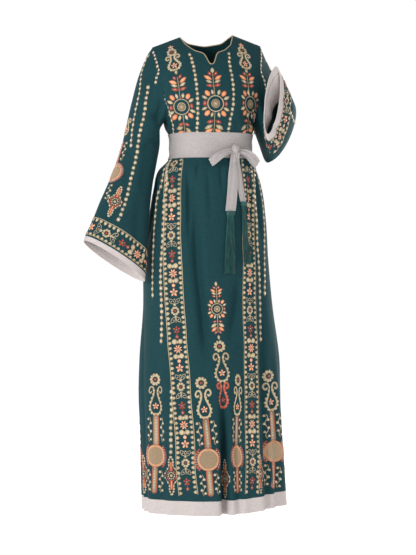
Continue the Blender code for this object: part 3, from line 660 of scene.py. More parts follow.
def add_piece(name, data, material, node):
    """Puts a mesh in the scene as one piece, which rides on the frame and replaces a solid."""
    data.materials.append(material)
    mesh = bmesh.new()
    mesh.from_mesh(data)
    bmesh.ops.recalc_face_normals(mesh, faces=mesh.faces)
    mesh.to_mesh(data)
    mesh.free()
    data.shade_smooth()
    data.set_sharp_from_angle(angle=SHARP_ANGLE)
    thing = linked(name, data)
    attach(thing, "root")
    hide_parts(node)
    return thing


# Materials: tones of the shaders and sizes of their patterns
SHARP_ANGLE = math.radians(50)
SHEEN_ROUGHNESS = 0.4
WEAVE_SPECULAR = 0.2
WEAVE_MOTTLE = 240.0
WEAVE_GRAIN = 900.0
WEAVE_WAVER = 1.5
WEAVE_HEIGHT = 0.0004


def linear(red, green, blue):
    """A colour as seen on a screen, 0 to 255, turned to the shader's linear values."""
    parts = []
    for value in (red, green, blue):
        value = value / 255
        parts.append(value / 12.92 if value <= 0.04045 else ((value + 0.055) / 1.055) ** 2.4)
    return (*parts, 1.0)


def new_material(name, roughness, sheen=0.0, specular=0.5):
    """A material with its shader and node tree, for a pattern to be added."""
    material = bpy.data.materials.new(name)
    material.use_nodes = True
    nodes = material.node_tree.nodes
    shader = nodes["Principled BSDF"]
    shader.inputs["Roughness"].default_value = roughness
    shader.inputs["Specular IOR Level"].default_value = specular
    shader.inputs["Sheen Weight"].default_value = sheen
    shader.inputs["Sheen Roughness"].default_value = SHEEN_ROUGHNESS
    return material, nodes, material.node_tree.links, shader


def noise_node(nodes, links, vector, scale, detail=3.0):
    """A noise pattern of one size, read at a vector."""
    node = nodes.new("ShaderNodeTexNoise")
    node.inputs["Scale"].default_value = scale
    node.inputs["Detail"].default_value = detail
    links.new(vector, node.inputs["Vector"])
    return node


def colour_ramp(nodes, links, source, low, high, start=0.35, end=0.65):
    """Turns a pattern into a passage between two colours."""
    ramp = nodes.new("ShaderNodeValToRGB")
    ramp.color_ramp.elements[0].position = start
    ramp.color_ramp.elements[1].position = end
    ramp.color_ramp.elements[0].color = low
    ramp.color_ramp.elements[1].color = high
    links.new(source, ramp.inputs["Fac"])
    return ramp


def add_bump(nodes, links, shader, height, strength, distance):
    """Raises the shader's surface by a pattern."""
    bumped = nodes.new("ShaderNodeBump")
    bumped.inputs["Strength"].default_value = strength
    bumped.inputs["Distance"].default_value = distance
    links.new(height, bumped.inputs["Height"])
    links.new(bumped.outputs["Normal"], shader.inputs["Normal"])


def woven(name, low, high, thread, roughness, sheen, bump):
    """Plain-woven cloth: two crossing threads in the bump and a slight mottle in the colour."""
    material, nodes, links, shader = new_material(name, roughness, sheen, WEAVE_SPECULAR)
    place = nodes.new("ShaderNodeTexCoord").outputs["Object"]
    mottled = noise_node(nodes, links, place, WEAVE_MOTTLE)
    ramp = colour_ramp(nodes, links, mottled.outputs["Fac"], low, high)
    links.new(ramp.outputs["Color"], shader.inputs["Base Color"])
    total = noise_node(nodes, links, place, WEAVE_GRAIN, 2.0).outputs["Fac"]
    for axis in ("X", "Z"):
        wave = nodes.new("ShaderNodeTexWave")
        wave.bands_direction = axis
        wave.inputs["Scale"].default_value = thread
        wave.inputs["Distortion"].default_value = WEAVE_WAVER
        wave.inputs["Detail Scale"].default_value = 2.0
        links.new(place, wave.inputs["Vector"])
        joined = nodes.new("ShaderNodeMath")
        joined.operation = "ADD"
        links.new(total, joined.inputs[0])
        links.new(wave.outputs["Fac"], joined.inputs[1])
        total = joined.outputs[0]
    add_bump(nodes, links, shader, total, bump, WEAVE_HEIGHT)
    return material


CREPE = woven(
    "crepe_cloth", linear(14, 54, 59), linear(19, 61, 66),
    thread=420.0, roughness=0.80, sheen=0.02, bump=0.35,
)
TAUPE = woven(
    "taupe_cloth", linear(186, 176, 173), linear(196, 187, 184),
    thread=500.0, roughness=0.75, sheen=0.05, bump=0.25,
)
BELT = woven(
    "belt_cloth", linear(162, 155, 153), linear(172, 166, 164),
    thread=560.0, roughness=0.65, sheen=0.08, bump=0.2,
)
PIPING = woven(
    "piping_cloth", linear(158, 138, 106), linear(180, 160, 126),
    thread=700.0, roughness=0.5, sheen=0.1, bump=0.3,
)


def make_body():
    """Front, back and hem bands, each as a thin shell, with the grids that the rest needs."""
    rows = skirt_rows()
    front_low = np.stack([row[0] for row in rows])
    back_low = np.stack([row[1] for row in rows])
    front_top = yoke_rows(FRONT_TOP, FRONT_COLUMNS, body("front", UNDERARM), -1.0, front_low[0])
    back_top = yoke_rows(BACK_TOP, BACK_COLUMNS, body("back", UNDERARM), 1.0, back_low[0][::-1])
    bands = band_rows()
    grids = []
    for top, low, side in (
        (front_top[::-1], front_low, 0),
        ([row[::-1] for row in back_top[::-1]], back_low, 1),
    ):
        grid = np.concatenate([np.stack(top), low])
        band = np.stack([row[side] for row in bands])
        out = panel_normals(grid, band)
        count = len(grid)
        pushed = crease_push(grid, out[:count], BODY_CREASES)
        pushed[:, [0, -1]] = 0.0
        rim = ease(np.arange(count) / BODY_RIM_ROWS)[:, None]
        grid = grid - out[:count] * (pushed * rim)[:, :, None]
        out = panel_normals(grid, band)
        ridge = np.abs(grid[0][:, 1]) < 1e-6
        grid[0][ridge, 1] += math.copysign(SEAM / 2, grid[3][len(grid[3]) // 2, 1])
        out[0][ridge] = (0.0, 0.0, 1.0)
        grids.append((grid, band, out))
    return grids


def add_body(grids):
    """The panels and hem bands as pieces."""
    for (grid, band, out), side in zip(grids, ("front", "back")):
        count = len(grid)
        data = grid_mesh(side + "_cloth", grid, grid - out[:count] * CLOTH)
        add_piece(side + "_cloth", data, CREPE, side + "_panel")
        data = grid_mesh("hem_" + side, band, band - out[count - 1 :] * CLOTH)
        add_piece("hem_" + side, data, TAUPE, "hem_band_" + side)


def armhole(front, back, side):
    """The armhole's edge as a ring: shoulder tip, down the back, underarm, up the front."""
    front_column = 0 if side < 0 else -1
    back_column = -1 if side < 0 else 0
    down = back[: YOKE_ROWS + 1, back_column]
    up = front[: YOKE_ROWS + 1, front_column][::-1]
    ring = np.concatenate([down[:-1], up[:-1]])
    ring[0, 1] = 0.0
    ring[YOKE_ROWS, 1] = 0.0
    return ring


def sleeve_point(table, share, column):
    """One of a sleeve's four edge lines, at a share of its length."""
    at = share * (len(table) - 1)
    place = []
    for axis in range(3):
        rows = [(step, row[SLEEVE_COLUMNS.index(column)][axis]) for step, row in enumerate(table)]
        place.append(float(smooth_read(rows, ("step", "place"), "step", "place", at)))
    return np.array(place)


def sleeve_grid(table, ring, shares, settle):
    """Rings of a sleeve at shares of its length, blended out of the armhole.

    settle is the share of the length by which nothing of the armhole's own shape is left.
    """
    count = len(ring)
    turn = np.linspace(0.0, 2 * math.pi, count, endpoint=False)
    up = np.cos(turn)[:, None]
    aside = np.sin(turn)[:, None]
    grid = []
    for share in shares:
        top, back, low, front = (sleeve_point(table, share, name) for name in SLEEVE_COLUMNS)
        centre = (top + low) / 2
        shape = centre + up * (top - centre)
        shape = shape + np.where(aside > 0, aside * (back - centre), -aside * (front - centre))
        moved = ring + (centre - (ring[0] + ring[count // 2]) / 2)
        weight = float(ease(share / settle))
        grid.append(moved * (1 - weight) + shape * weight)
    return np.stack(grid)


def make_sleeve(name, table, ring, side, creases):
    """A sleeve's grid, its cuff's grid and their outward directions."""
    seam = 1 - CUFF_SHARE
    settle = SETTLE_SHARE[name]
    shares = np.concatenate([
        np.linspace(0.0, seam, SLEEVE_ROWS + 1),
        np.linspace(seam + CUFF_GAP_SHARE, 1.0, CUFF_ROWS + 1),
    ])
    every = sleeve_grid(table, ring, shares, settle)
    out = normals(every, closed=True) * side
    pushed = crease_push(every, out, creases)
    rim = ease(np.arange(len(every)) / SLEEVE_RIM_ROWS)[:, None]
    every = every - out * (pushed * rim)[:, :, None]
    out = normals(every, closed=True) * side
    out[0, :, 0] = 0.0
    out[0] = unit(out[0])
    every[0, :, 0] += side * SEAM
    return every, out


def add_sleeve(name, every, out):
    """A sleeve and its cuff band as pieces."""
    count = SLEEVE_ROWS + 1
    grid, cuff = every[:count], every[count:]
    data = grid_mesh("sleeve", grid, grid - out[:count] * CLOTH, closed=True)
    add_piece("sleeve_cloth_" + name, data, CREPE, "sleeve_" + name)
    data = grid_mesh("cuff", cuff, cuff - out[count:] * CLOTH, closed=True)
    rows = slice(count - FACING_ROWS, count)
    face = grid[rows] - out[rows] * (CLOTH + FACING_GAP)
    lining = grid_mesh("facing", face, face - out[rows] * FACING_CLOTH, closed=True)
    mesh = bmesh.new()
    mesh.from_mesh(data)
    mesh.from_mesh(lining)
    mesh.to_mesh(data)
    mesh.free()
    add_piece("cuff_" + name, data, TAUPE, "cuff_band_" + name)


def add_belt(front, back):
    """The belt lies on the panels' own points, with a few soft wrinkles along it."""
    first = YOKE_ROWS + BLOUSE_ROWS
    last = first + BELT_ROWS
    rows = slice(first, last + 1)
    grid = np.concatenate([front[0][rows], back[0][rows]], axis=1)
    out = np.concatenate([front[2][rows], back[2][rows]], axis=1)
    keep = [k for k in range(grid.shape[1]) if k not in (FRONT_COLUMNS + 1, grid.shape[1] - 1)]
    grid, out = grid[:, keep], out[:, keep]
    turn = np.linspace(0.0, 2 * math.pi, grid.shape[1], endpoint=False)[None, :]
    drop = np.linspace(0.0, 1.0, BELT_ROWS + 1)[:, None]
    wrinkle = np.zeros((BELT_ROWS + 1, grid.shape[1]))
    for centre, slope, waves, width in BELT_WRINKLES:
        line = centre + slope * np.sin(waves * turn + centre * 9)
        wrinkle += np.exp(-(((drop - line) / width) ** 2)) * (0.6 + 0.4 * np.sin(turn * (waves + 2)))
    outer = grid + out * (SEAM + BELT_CLOTH - WRINKLE_DEPTH * np.clip(wrinkle, 0.0, 1.0))[:, :, None]
    data = grid_mesh("belt", outer, grid + out * SEAM, closed=True)
    add_piece("belt_wrap", data, BELT, "belt")


def front_face(x, height):
    """Outermost y of the cloth at the front for a place across it, with the belt on it."""
    half = body("half_width", height)
    across = np.clip(np.abs(x - body("centre", height)) / half, 0.0, 1.0)
    deep = body("front", height) * (1 - across**ROUNDNESS) ** (1 / ROUNDNESS)
    on_belt = ease((height - BELT_BOTTOM + BELT_STEP[0]) / BELT_STEP[1])
    return -(deep + (BELT_CLOTH + SEAM) * on_belt)


TUBE_SLANT = (0.13, 0.97, 0.21)


def tube(path, radius, sides, closed=False):
    """Points and faces of a round cord along a path, its ends closed."""
    path = np.array(path, dtype=float)
    ahead = np.gradient(path, axis=0)
    if closed:
        ahead = np.roll(path, -1, axis=0) - np.roll(path, 1, axis=0)
    ahead = unit(ahead)
    aside = unit(np.cross(ahead, TUBE_SLANT))
    up = np.cross(aside, ahead)
    turn = np.linspace(0.0, 2 * math.pi, sides, endpoint=False)
    ring = np.cos(turn)[None, :, None] * aside[:, None] + np.sin(turn)[None, :, None] * up[:, None]
    points = (path[:, None] + ring * radius).reshape(-1, 3)
    index = wrapped(np.arange(len(path) * sides).reshape(len(path), sides))
    if closed:
        index = np.concatenate([index, index[:1]], axis=0)
    faces = [tuple(face) for face in quads(index)]
    if not closed:
        faces.append(tuple(range(sides))[::-1])
        faces.append(tuple(range((len(path) - 1) * sides, len(path) * sides)))
    return points.tolist(), faces


def join_tubes(tubes):
    """One mesh from many sets of points and faces."""
    points, faces = [], []
    for some_points, some_faces in tubes:
        start = len(points)
        points += some_points
        faces += [tuple(int(k) + start for k in face) for face in some_faces]
    data = bpy.data.meshes.new("joined")
    data.from_pydata(points, [], faces)
    return data


def add_piping(front, back):
    """A thin round binding that follows the neck and its slit, just off the cloth's edge."""
    mids, out = [], []
    for (grid, _, outward), trim in ((front, 0), (back, 1)):
        near = [k for k in range(grid.shape[1]) if abs(grid[0, k, 0]) < NECK_HALF + PIPING_MARGIN]
        for k in near[trim : len(near) - trim]:
            mids.append(grid[0, k] - outward[0, k] * CLOTH / 2)
            out.append(outward[0, k])
    mids = np.array(mids)
    out = np.array(out)
    ahead = unit(np.roll(mids, -1, axis=0) - mids)
    behind = np.roll(ahead, 1, axis=0)
    aside = unit(np.cross(unit(ahead + behind), out))
    aside = aside * np.sign(np.sum(aside * (np.array(NECK_MIDDLE) - mids), axis=1))[:, None]
    half_turn = np.sqrt((1 + np.sum(ahead * behind, axis=1)) / 2)
    reach = PIPING_RADIUS / np.clip(half_turn, PIPING_CORNER, 1.0)
    path = mids + aside * reach[:, None]
    data = join_tubes([tube(path, PIPING_RADIUS, PIPING_SIDES, closed=True)])
    return add_piece("neck_binding", data, PIPING, "neck_piping")


def add_knot():
    """The belt's knot: a rounded lump wrapped by a slanting band with creases."""
    ripple, waves, shift = KNOT_RIPPLES
    points = []
    for j in range(KNOT_ROWS):
        rise = math.pi * (j + 0.5) / KNOT_ROWS
        for i in range(KNOT_SIDES):
            turn = 2 * math.pi * i / KNOT_SIDES
            place = np.array([
                math.sin(rise) * math.cos(turn), math.sin(rise) * math.sin(turn), math.cos(rise)
            ])
            slant = place[0] * math.cos(KNOT_LEAN) + place[2] * math.sin(KNOT_LEAN)
            crease = ripple * math.sin(waves * slant + shift * place[2])
            for middle, width, depth in KNOT_CREASES:
                crease -= depth * math.exp(-(((slant - middle) / width) ** 2))
            points.append(np.array(KNOT) + place * np.array(KNOT_FORM) * (1 + crease))
    count = KNOT_ROWS * KNOT_SIDES
    faces = quads(wrapped(np.arange(count).reshape(KNOT_ROWS, KNOT_SIDES))).tolist()
    faces += [list(range(KNOT_SIDES)), list(range(count - KNOT_SIDES, count))]
    data = bpy.data.meshes.new("knot")
    data.from_pydata(np.array(points).tolist(), [], faces)
    return add_piece("bow_knot", data, BELT, "belt_knot")


def add_loop(row):
    """One loop of the bow: a strip that leaves the knot, turns at its tip and comes back."""
    name, tip_x, tip_y, tip_z, knot_width, tip_width, fullness, arch = row
    knot = np.array(KNOT)
    line = np.array([tip_x, tip_y, tip_z]) - knot
    length = np.linalg.norm(line)
    line = line / length
    toward = unit(np.cross(line, (0.0, 1.0, 0.0)))
    thick = np.cross(toward, line)
    start = 1 / np.linalg.norm(line / np.array(KNOT_RADII)) - LOOP_ROOT
    turn = np.linspace(0.0, math.pi, LOOP_SEGMENTS + 1)
    share = np.sin(turn) ** LOOP_TURN_POWER
    belly = (share * (1 - share ** LOOP_BELLY_POWERS[0])) ** LOOP_BELLY_POWERS[1]
    offset = np.cos(turn) * (LOOP_GAP + fullness * belly)
    path = knot + np.outer(start + (length - start) * share, line) + np.outer(offset, thick)
    path[:, 2] += arch * np.sin(math.pi * np.minimum(share, 1.0))
    outward = unit(np.cross(np.gradient(path, axis=0), toward))
    if np.dot(outward[LOOP_SEGMENTS // 2], line) < 0:
        outward = -outward
    width = (knot_width + (tip_width - knot_width) * share) * (1 - LOOP_TIP_GATHER * share**10)
    lines = np.linspace(-0.5, 0.5, LOOP_LINES)
    inner = np.stack([path + np.outer(width * side, toward) for side in lines])
    depth, waves, fade = LOOP_PLEATS
    wave = depth * np.cos(lines * waves)[:, None] * (1 - fade * share)[None, :]
    depth, waves, spin = LOOP_RIPPLES
    wave += depth * np.sin(lines[:, None] * waves + spin * turn[None, :]) * (share * (1 - share))[None, :]
    inner = inner + outward[None] * wave[:, :, None]
    data = grid_mesh(name, inner + outward * BOW_CLOTH, inner)
    add_piece(name + "_cloth", data, BELT, name)


def add_tail(row):
    """A hanging end of the belt, which lies just in front of the skirt."""
    name, start_x, end_x, start_z, end_z, top_width, low_width = row
    depth, waves, shift, fade = TAIL_PLEATS
    share = np.linspace(0.0, 1.0, TAIL_ROWS + 1)
    across = np.linspace(-0.5, 0.5, TAIL_LINES)
    grid = np.zeros((len(share), len(across), 3))
    for j, t in enumerate(share):
        spread_out = float(ease(t * TAIL_SPREAD))
        width = top_width + (low_width - top_width) * spread_out
        x = start_x + (end_x - start_x) * t * t + across * width
        z = start_z + (end_z - start_z) * t
        hung = float(ease(t * TAIL_HANG))
        pleat = depth * np.cos(across * waves + shift * t) * (1 - fade * t)
        grid[j, :, 0] = x
        lying = front_face(x, z) - TAIL_STANDOFFS[name]
        grid[j, :, 1] = KNOT[1] * (1 - hung) + lying * hung + pleat
        grid[j, :, 2] = z
    data = grid_mesh(name, grid - np.array([0.0, BOW_CLOTH, 0.0]), grid)
    return add_piece(name + "_cloth", data, BELT, name), grid[-1, :, 1].min() - BOW_CLOTH / 2


def add_tassel(row, y_top):
    """A tassel: a bound head and many thin wavering threads."""
    name, x, top, bottom, top_width, low_width, drift, across = row
    (wide, slow), (small, fast), (deep, rate) = SWAYS
    tubes = []
    for layer in range(STRAND_LAYERS):
        for k in range(across):
            share = (k + 0.5) / across - 0.5
            seed = 7 * k + 13 * layer
            length = 1 - LENGTH_SPREAD * (seed % 5) / 4
            path = []
            for step in range(STRAND_STEPS + 1):
                t = step / STRAND_STEPS
                z = top - HEAD_HEIGHT + 2 * HEAD_MARGIN + (bottom - top + HEAD_HEIGHT) * t * length
                root_width = top_width * ROOT_SPREAD
                width = root_width + (low_width - root_width) * t
                sway = wide * math.sin(slow * t + THREAD_PHASE * k)
                sway = (sway + small * math.sin(fast * t + seed)) * t
                px = x + drift * t + (share + (layer - 1) * LAYER_SHIFT / across) * width + sway
                lying = float(front_face(np.array(px), z)) - STRAND_STANDOFF
                py = min(lying, y_top) + (layer - 1) * LAYER_GAP + deep * math.sin(rate * t + 0.5 * seed)
                path.append((px, py, z))
            tubes.append(tube(path, STRAND_RADIUS, 4))
    angle = circle(HEAD_SEGMENTS)
    for turn in range(HEAD_TURNS):
        z = top - HEAD_MARGIN - turn * (HEAD_HEIGHT - 2 * HEAD_MARGIN) / (HEAD_TURNS - 1)
        across_head = x + (top_width / 2 + HEAD_REACH) * np.cos(angle)
        ring = np.stack([across_head, y_top + HEAD_DEPTH * np.sin(angle), np.full_like(angle, z)], axis=1)
        tubes.append(tube(ring, HEAD_CORD, 6, closed=True))
    return add_piece(name + "_threads", join_tubes(tubes), TASSEL, name)


def camera_axes():
    """The camera's place, and its directions ahead and to the right."""
    right = np.array([math.cos(CAMERA_TURN), -math.sin(CAMERA_TURN), 0.0])
    ahead = np.array([math.sin(CAMERA_TURN), math.cos(CAMERA_TURN), 0.0])
    spot = right * CAMERA_ASIDE - ahead * CAMERA_DISTANCE
    spot[2] = CAMERA_HEIGHT
    return spot, ahead, right


def add_stage():
    """A plain pale floor, soft studio light and the camera."""
    floor = bpy.data.meshes.new("floor")
    corners = ((-1, -1), (1, -1), (1, 1), (-1, 1))
    points = [(x * FLOOR_REACH, y * FLOOR_REACH, FLOOR_LEVEL) for x, y in corners]
    floor.from_pydata(points, [], [(0, 1, 2, 3)])
    ground = linked("floor", floor)
    material, nodes, links, shader = new_material("floor_paint", 0.9)
    place = nodes.new("ShaderNodeTexCoord")
    mottled = noise_node(nodes, links, place.outputs["Object"], FLOOR_MOTTLE)
    ramp = colour_ramp(nodes, links, mottled.outputs["Fac"], linear(251, 251, 251), linear(253, 253, 253))
    links.new(ramp.outputs["Color"], shader.inputs["Base Color"])
    shader.inputs["Emission Color"].default_value = linear(254, 254, 254)
    shader.inputs["Emission Strength"].default_value = FLOOR_GLOW
    floor.materials.append(material)
    world = bpy.data.worlds.new("studio")
    world.use_nodes = True
    nodes, links = world.node_tree.nodes, world.node_tree.links
    toward = nodes.new("ShaderNodeTexCoord")
    parted = nodes.new("ShaderNodeSeparateXYZ")
    links.new(toward.outputs["Generated"], parted.inputs["Vector"])
    ramp = colour_ramp(nodes, links, parted.outputs["Z"], linear(254, 254, 254), SKY_TOP, *SKY_BAND)
    links.new(ramp.outputs["Color"], nodes["Background"].inputs["Color"])
    nodes["Background"].inputs["Strength"].default_value = SKY_STRENGTH
    bpy.context.scene.world = world
    bpy.context.scene.view_settings.view_transform = "Standard"
    for place, size, power in LAMPS:
        light = bpy.data.lights.new("soft_light", "AREA")
        light.size = size
        light.energy = power
        lamp = linked("soft_light", light)
        lamp.location = place
        aim = Vector(LAMP_AIM) - Vector(place)
        lamp.rotation_euler = aim.to_track_quat("-Z", "Y").to_euler()
    lens = bpy.data.cameras.new("camera")
    lens.sensor_width = SENSOR
    lens.lens = FOCAL_PIXELS / PHOTO_HEIGHT * SENSOR
    lens.clip_end = CAMERA_REACH
    camera = linked("camera", lens)
    camera.location = camera_axes()[0]
    camera.rotation_euler = (math.pi / 2, 0.0, -CAMERA_TURN)
    bpy.context.scene.camera = camera


# Threads and stones of the needlework, as colours seen on a screen: each pair runs from the painted shade
# at the edge of a form to the painted highlight on its crown
THREADS = {
    "gold": ((104, 88, 58), (192, 172, 136)),
    "sand": ((108, 90, 60), (168, 146, 110)),
    "bronze": ((98, 78, 54), (158, 133, 102)),
    "orange": ((180, 88, 46), (238, 152, 96)),
    "peach": ((196, 116, 82), (242, 176, 138)),
    "red": ((100, 28, 14), (166, 62, 34)),
    "wine": ((60, 14, 12), (110, 28, 24)),
    "rust": ((128, 46, 26), (190, 82, 50)),
    "stone": ((168, 172, 174), (228, 229, 228)),
}
STITCH_LIFT = 0.00025
# Even grids laid over a cloth: left, right, top, low, cells each way
BODICE_PLATE = (-0.165, 0.165, -0.012, -0.300, 130)
SLEEVE_PLATE = (-0.330, -0.200, -0.400, -0.560, 70)
THREAD_ROUGHNESS = 0.42
THREAD_SHEEN = 0.2
THREAD_MOTTLE = 260.0
# Where the colour ramp goes from painted shade to painted highlight
THREAD_TONES = (0.25, 1.15)
THREAD_LINES = 0.45
THREAD_WAVER = 0.6
THREAD_BUMP = (0.5, 0.0003)
STONE_ROUGHNESS = 0.12
STREAK_SQUEEZE = (1.0, 1.0, 0.03)
STREAK_SCALE = 620.0
STREAK_TONES = (0.36, 0.66)
STITCH_HEIGHT = 0.0011
MM = 0.001
STONE_RADIUS = 1.9 * MM
STONE_HEIGHT = 2.2 * MM
STONE_SIDES = 6
STONE_TABLE = 0.55
# Painted light on stitches and stones: shares of the painted highlight on a stone's table, at a form's edge
# and shoulder (the shoulder also sets its height), along a line's edges, and the weights of the highlight
# and the noise
STONE_CROWN = 0.9
PATCH_EDGE = 0.1
PATCH_SHOULDER = 0.85
LINE_EDGE = 0.2
CROWN_SHARE = 0.8
CROWN_NOISE = 0.5


def hanging_thread(name, low, high):
    """Loose hanging thread: fine upright streaks between a dark and a light tone."""
    material, nodes, links, shader = new_material(name, THREAD_ROUGHNESS, THREAD_SHEEN)
    place = nodes.new("ShaderNodeTexCoord")
    squeezed = nodes.new("ShaderNodeMapping")
    squeezed.inputs["Scale"].default_value = STREAK_SQUEEZE
    links.new(place.outputs["Object"], squeezed.inputs["Vector"])
    streak = noise_node(nodes, links, squeezed.outputs["Vector"], STREAK_SCALE, 2.0)
    ramp = colour_ramp(nodes, links, streak.outputs["Fac"], low, high, *STREAK_TONES)
    links.new(ramp.outputs["Color"], shader.inputs["Base Color"])
    return material


TASSEL = hanging_thread("tassel_thread", linear(4, 30, 32), linear(32, 100, 95))


def thread_material(name):
    """Satin thread that lies in fine parallel stitches, with a painted highlight on the crown of each form
    and painted shade at its edges.
    """
    low, high = THREADS[name]
    stone = name == "stone"
    finish = (STONE_ROUGHNESS, 0.0, 1.0) if stone else (THREAD_ROUGHNESS, THREAD_SHEEN)
    material, nodes, links, shader = new_material(name + "_stitches", *finish)
    # Painted light: each point's painted highlight value moves its colour from the shaded tone to the lit
    # one
    crown = nodes.new("ShaderNodeAttribute")
    crown.attribute_name = "crown"
    place = nodes.new("ShaderNodeTexCoord")
    noise = noise_node(nodes, links, place.outputs["Object"], THREAD_MOTTLE, 2.0)
    total = nodes.new("ShaderNodeMath")
    total.operation = "MULTIPLY_ADD"
    total.inputs[1].default_value = CROWN_NOISE
    links.new(noise.outputs["Fac"], total.inputs[0])
    links.new(crown.outputs["Fac"], total.inputs[2])
    ramp = colour_ramp(nodes, links, total.outputs[0], linear(*low), linear(*high), *THREAD_TONES)
    links.new(ramp.outputs["Color"], shader.inputs["Base Color"])
    if not stone:
        threads = nodes.new("ShaderNodeTexWave")
        threads.bands_direction = "X"
        threads.inputs["Scale"].default_value = THREAD_LINES
        threads.inputs["Distortion"].default_value = THREAD_WAVER
        links.new(place.outputs["UV"], threads.inputs["Vector"])
        add_bump(nodes, links, shader, threads.outputs["Fac"], *THREAD_BUMP)
    return material


def view_ray(across, down):
    """The camera's place and its direction through a pixel of the photograph's frame."""
    spot, ahead, right = camera_axes()
    way = ahead + right * (across - PHOTO_WIDTH / 2) / FOCAL_PIXELS
    way[2] = (PHOTO_HEIGHT / 2 - down) / FOCAL_PIXELS
    return Vector(spot), Vector(way).normalized()


# Steps round a place over which its measure is taken
METRIC_PLACES = ((0, 0), (2, 0), (-2, 0), (0, 3), (0, -3))
SPOT_REACH = 0.006
SIDEWAYS_LIMIT = 0.8
SHADE_SWING = 0.16
SHADE_TURN = 2.399
ALONG_STEP = 0.005
RUN_STEP = 0.002


class Cloth:
    """A grid of cloth that is read at any column and row, and found from the camera."""

    def __init__(self, grid, out, closed=False):
        self.closed = closed
        if closed:
            grid, out = wrapped(grid), wrapped(out)
        self.grid, self.out = grid, out
        self.rows, self.columns = grid.shape[0] - 1, grid.shape[1] - 1
        index = np.arange(grid.shape[0] * grid.shape[1]).reshape(grid.shape[:2])
        self.tree = BVHTree.FromPolygons(grid.reshape(-1, 3).tolist(), quads(index).tolist())
        steps = np.linalg.norm(np.diff(grid, axis=0), axis=2)
        self.drop = np.concatenate([np.zeros((1, self.columns + 1)), np.cumsum(steps, axis=0)])

    def cell(self, u, v):
        """The grid cell of each place, and how far into it the place is."""
        u, v = np.asarray(u, dtype=float), np.asarray(v, dtype=float)
        u = u % self.columns if self.closed else np.clip(u, 0, self.columns)
        v = np.clip(v, 0, self.rows)
        i = np.minimum(u.astype(int), self.columns - 1)
        j = np.minimum(v.astype(int), self.rows - 1)
        return i, j, (u - i)[..., None], (v - j)[..., None]

    def read(self, u, v, source=None):
        """Points of the cloth at columns and rows, which need not be whole."""
        source = self.grid if source is None else source
        i, j, s, t = self.cell(u, v)
        above = source[j, i] * (1 - s) + source[j, i + 1] * s
        below = source[j + 1, i] * (1 - s) + source[j + 1, i + 1] * s
        return above * (1 - t) + below * t

    def find(self, across, down):
        """Column and row of the cloth that the camera sees at a pixel, or the nearest ones."""
        spot, way = view_ray(across, down)
        hit, _, face, _ = self.tree.ray_cast(spot, way)
        if hit is None:
            hit, _, face, _ = self.tree.find_nearest(spot + way * CAMERA_DISTANCE)
        j, i = divmod(face, self.columns)
        corner = self.grid[j, i]
        away = np.array(hit) - corner
        aside = self.grid[j, i + 1] - corner
        below = self.grid[j + 1, i] - corner
        s = np.clip(away @ aside / (aside @ aside), 0.0, 1.0)
        t = np.clip(away @ below / (below @ below), 0.0, 1.0)
        return float(i + s), float(j + t)

    def above_end(self, u, distance):
        """The row that lies a distance above the lower edge, along a column."""
        i = int(round(u)) % self.columns if self.closed else int(np.clip(round(u), 0, self.columns))
        column = self.drop[:, i]
        return float(np.interp(column[-1] - distance, column, np.arange(len(column))))

    def metric(self, u, v):
        """Lengths and angle of the steps between columns and between rows, round a place."""
        total = np.zeros((2, 2))
        for du, dv in METRIC_PLACES:
            a = (self.read(u + du + 1, v + dv) - self.read(u + du - 1, v + dv)) / 2
            b = (self.read(u + du, v + dv + 1) - self.read(u + du, v + dv - 1)) / 2
            total += np.array([[a @ a, a @ b], [a @ b, b @ b]])
        return total / len(METRIC_PLACES)


def plate(cloth, left, right, top, low, cells, behind=False):
    """One side of a cloth, read on an even grid as it is seen from straight ahead or behind."""
    across = np.linspace(left, right, cells + 1)
    levels = np.linspace(top, low, cells + 1)
    grid = np.zeros((cells + 1, cells + 1, 3))
    start, ahead = (1.0, -1.0) if behind else (-1.0, 1.0)
    for i, x in enumerate(across):
        y = 0.0
        for j in range(cells, -1, -1):
            hit = cloth.tree.ray_cast(Vector((x, start, levels[j])), Vector((0.0, ahead, 0.0)))[0]
            y = y if hit is None else hit.y
            grid[j, i] = (x, y, levels[j])
    out = normals(grid)
    return Cloth(grid, -out if behind else out)


class Spot:
    """A place on a cloth, with one unit across it and one unit down it as grid steps."""

    def __init__(self, cloth, u, v, lead=(0.0, 1.0), wide=1.0):
        self.cloth, self.u, self.v = cloth, u, v
        metric = cloth.metric(u, v)
        lead = np.array(lead, dtype=float)
        self.down = lead / math.sqrt(lead @ metric @ lead)
        aside = np.array([1.0, 0.0])
        if abs(aside @ metric @ self.down) > SIDEWAYS_LIMIT * math.sqrt(metric[0, 0]):
            aside = np.array([0.0, -1.0])
        aside = aside - (aside @ metric @ self.down) * self.down
        self.across = wide * aside / math.sqrt(aside @ metric @ aside)

    def place(self, a, b):
        """Columns and rows of points given in metres across and down from the spot."""
        a, b = np.asarray(a, dtype=float), np.asarray(b, dtype=float)
        u = self.u + a * self.across[0] + b * self.down[0]
        v = self.v + a * self.across[1] + b * self.down[1]
        return u, v


